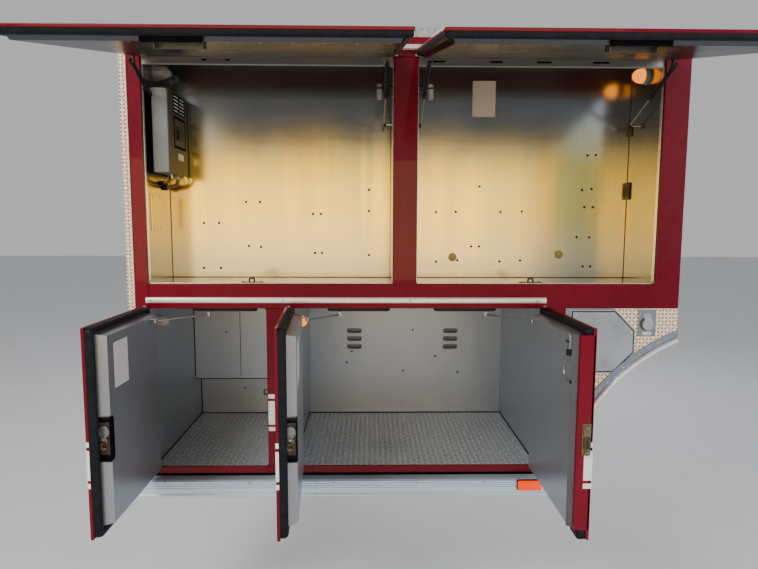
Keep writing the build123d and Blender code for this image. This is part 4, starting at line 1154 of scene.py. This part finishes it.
# Gap round the access door: a dark sheet as painted shade.
Form().prism(cut_panel(4.5), (0, -2.4, 0)).make("access_gap", DARK)
Form().prism(cut_panel(0), (0, -4, 0), 1).make("access_door", PANEL_GREY, replaces=("access_panel",))
ACCESS_SCREWS = [(low.x + 45, high.z - 19), (high.x - corner - 10, high.z - 12),
                 (high.x - 12, high.z - corner - 12), (high.x - 12, low.z + corner + 10),
                 (low.x + 45, low.z + corner + 12)]
Form().screws([(x, FACE - 4, z) for x, z in ACCESS_SCREWS], -Y, 4, 1.6).make("access_screws", STEEL)

low, high = box_mm("fender_catch")
cx, cz = (low.x + high.x) / 2, (low.z + high.z) / 2
ON_PLATE = FACE - 2.8
Form().box((low.x, high.x), face_y(-3, 0), (low.z, high.z), 1.2).make(
    "fender_catch_plate", CATCH_GREY, replaces=("fender_catch",))
Form().lathe((cx - 4, FACE - 2.5, cz - 4), -Y, [(0, 31), (1.2, 31), (1.2, 0)], 36).make(
    "fender_catch_recess", LATCH_BODY)
THUMB = [(-20, 40), (12, 44), (22, 10), (-12, 12)]
DISC = [(0, 25), (2.2, 25), (3, 23), (3, 0)]
disc = Form().lathe((cx + 4, ON_PLATE, cz - 8), -Y, DISC, 36)
disc.prism([(cx + dx, ON_PLATE, cz + dz) for dx, dz in THUMB], (0, -2.2, 0), 0.8)
disc.run(cx + 22, face_y(-4, -6), cz - 26, 4, 12, 0.6)
disc.make("fender_catch_disc", PANEL_GREY)
Form().prism(stadium((cx, ON_PLATE, low.z + 13), 14, 8), (0, -1.8, 0), 0.6).make("fender_catch_lock", BRIGHT)

# Arch: a grooved flange and a bright half-round bead along the wheel opening.
HUB = (1837.2, -402)
low, high = box_mm("arch_moulding")
right_end, foot_end = high.x, low.z


def arch_points(radius, count=72):
    """Points round the wheel at a radius, from the foot of the body to its rear post."""
    start = 180 - math.degrees(math.asin((foot_end - HUB[1]) / radius))
    stop = math.degrees(math.acos((right_end - HUB[0]) / radius))
    return arc(HUB, radius, start, stop - start, count)


def arch_sweep(name, look, section, replaced=()):
    """Section of (radius, distance behind the face) points swept round the arch."""
    lines = [[(x, FACE + behind, z) for x, z in arch_points(radius)] for radius, behind in section]
    Form().loft(list(zip(*lines))).make(name, look, smooth=50, replaces=replaced)


arch_sweep("arch_flange", ARCH_GREY, [(866, 5), (866, -5), (869, -6), (872, -3.5),
                                      (875, -6), (896, -6), (899, -3), (899, 5)],
           ("arch_moulding",))
arch_sweep("arch_bead", ARCH_BRIGHT, [(868, -2), (866.5, -10), (862, -14.5), (857, -16),
                                      (852, -14.5), (849, -10), (848, -2), (848, 5),
                                      (868, 5)])
Form().screws([(x, FACE - 6, z) for x, z in arch_points(880.5, 9)[1:-1]], -Y, 4, 2).make("arch_screws", STEEL)

# ---------------- backs of the upper lockers
back_y = UF_Y[1] + 3
RIB = [(-30, 0), (-18, 1.8), (18, 1.8), (30, 0)]
stiffeners, rivets = Form(), Form()
for x in (-660, -340, -20, 520, 850, 1180):
    stiffeners.prism([(x + dx, back_y + dy, 700) for dx, dy in RIB], (0, 0, 860))
for x0, x1 in UPPERS.values():
    rivets.screws([(x, back_y, z) for z in (660, 1610) for x in spread(x0 + 20, x1 - 20, 15)], Y, 3.6, 1.4)
stiffeners.make("upper_back_stiffeners", LOWER_WALL)
rivets.make("upper_back_rivets", STEEL)

# ---------------- camera, floor and lights
GROUND, FLOOR_HALF = -0.915, 30
scene = bpy.context.scene


def add(name, data):
    made = bpy.data.objects.new(name, data)
    scene.collection.objects.link(made)
    return made


camera_data = bpy.data.cameras.new("camera")
camera_data.lens = 27.34
camera_data.sensor_width = 36.0
camera_data.sensor_fit = "HORIZONTAL"
camera = add("camera", camera_data)
camera.matrix_world = Matrix((
    (0.99984, -0.00117, -0.01793, 0.098),
    (-0.01771, 0.10301, -0.99452, -3.390),
    (0.00301, 0.99468, 0.10297, 0.900),
    (0, 0, 0, 1)))
bpy.context.scene.camera = camera

floor_look = Look("pale_floor", (0.62, 0.63, 0.65), roughness=0.75)
floor_look.colour(floor_look.mix(floor_look.noise(3, 4), (0.59, 0.60, 0.62), (0.64, 0.65, 0.67)))
floor_mesh = bpy.data.meshes.new("floor")
floor_mesh.from_pydata([(x * FLOOR_HALF, y * FLOOR_HALF, GROUND) for x, y in ((-1, -1), (1, -1), (1, 1), (-1, 1))],
                       [], [(0, 1, 2, 3)])
floor_mesh.materials.append(floor_look.material)
floor = add("floor", floor_mesh)

world = bpy.data.worlds.new("studio")
scene.world = world
world.use_nodes = True
background = world.node_tree.nodes["Background"]
background.inputs["Color"].default_value = (0.93, 0.94, 0.96, 1)
background.inputs["Strength"].default_value = 0.55

# Name, place, target, size, power and colour of each lamp.
LIGHTS = [("key", (-3.6, -4.6, 5.0), (0.2, -0.8, 0.5), (3.5, 2.5), 330, (1.0, 0.97, 0.93)),
          ("fill", (5.6, -4.6, 2.2), (0.2, -0.8, 0.3), (2.5, 3.0), 170, (0.93, 0.97, 1.0)),
          ("low", (-0.2, -5.6, 0.95), (0.1, -0.5, 0.95), (5.2, 1.5), 72, (1.0, 0.65, 0.25)),
          ("back", (1.5, 4.0, 3.5), (0.2, 0.0, 0.8), (3.0, 2.0), 120, (1, 1, 1))]
for name, place, target, size, power, colour in LIGHTS:
    data = bpy.data.lights.new(name, "AREA")
    data.shape = "RECTANGLE"
    data.size, data.size_y = size
    data.energy = power
    data.color = colour
    made = add(name, data)
    made.location = place
    made.rotation_mode = "QUATERNION"
    made.rotation_quaternion = (Vector(target) - Vector(place)).to_track_quat("-Z", "Y")
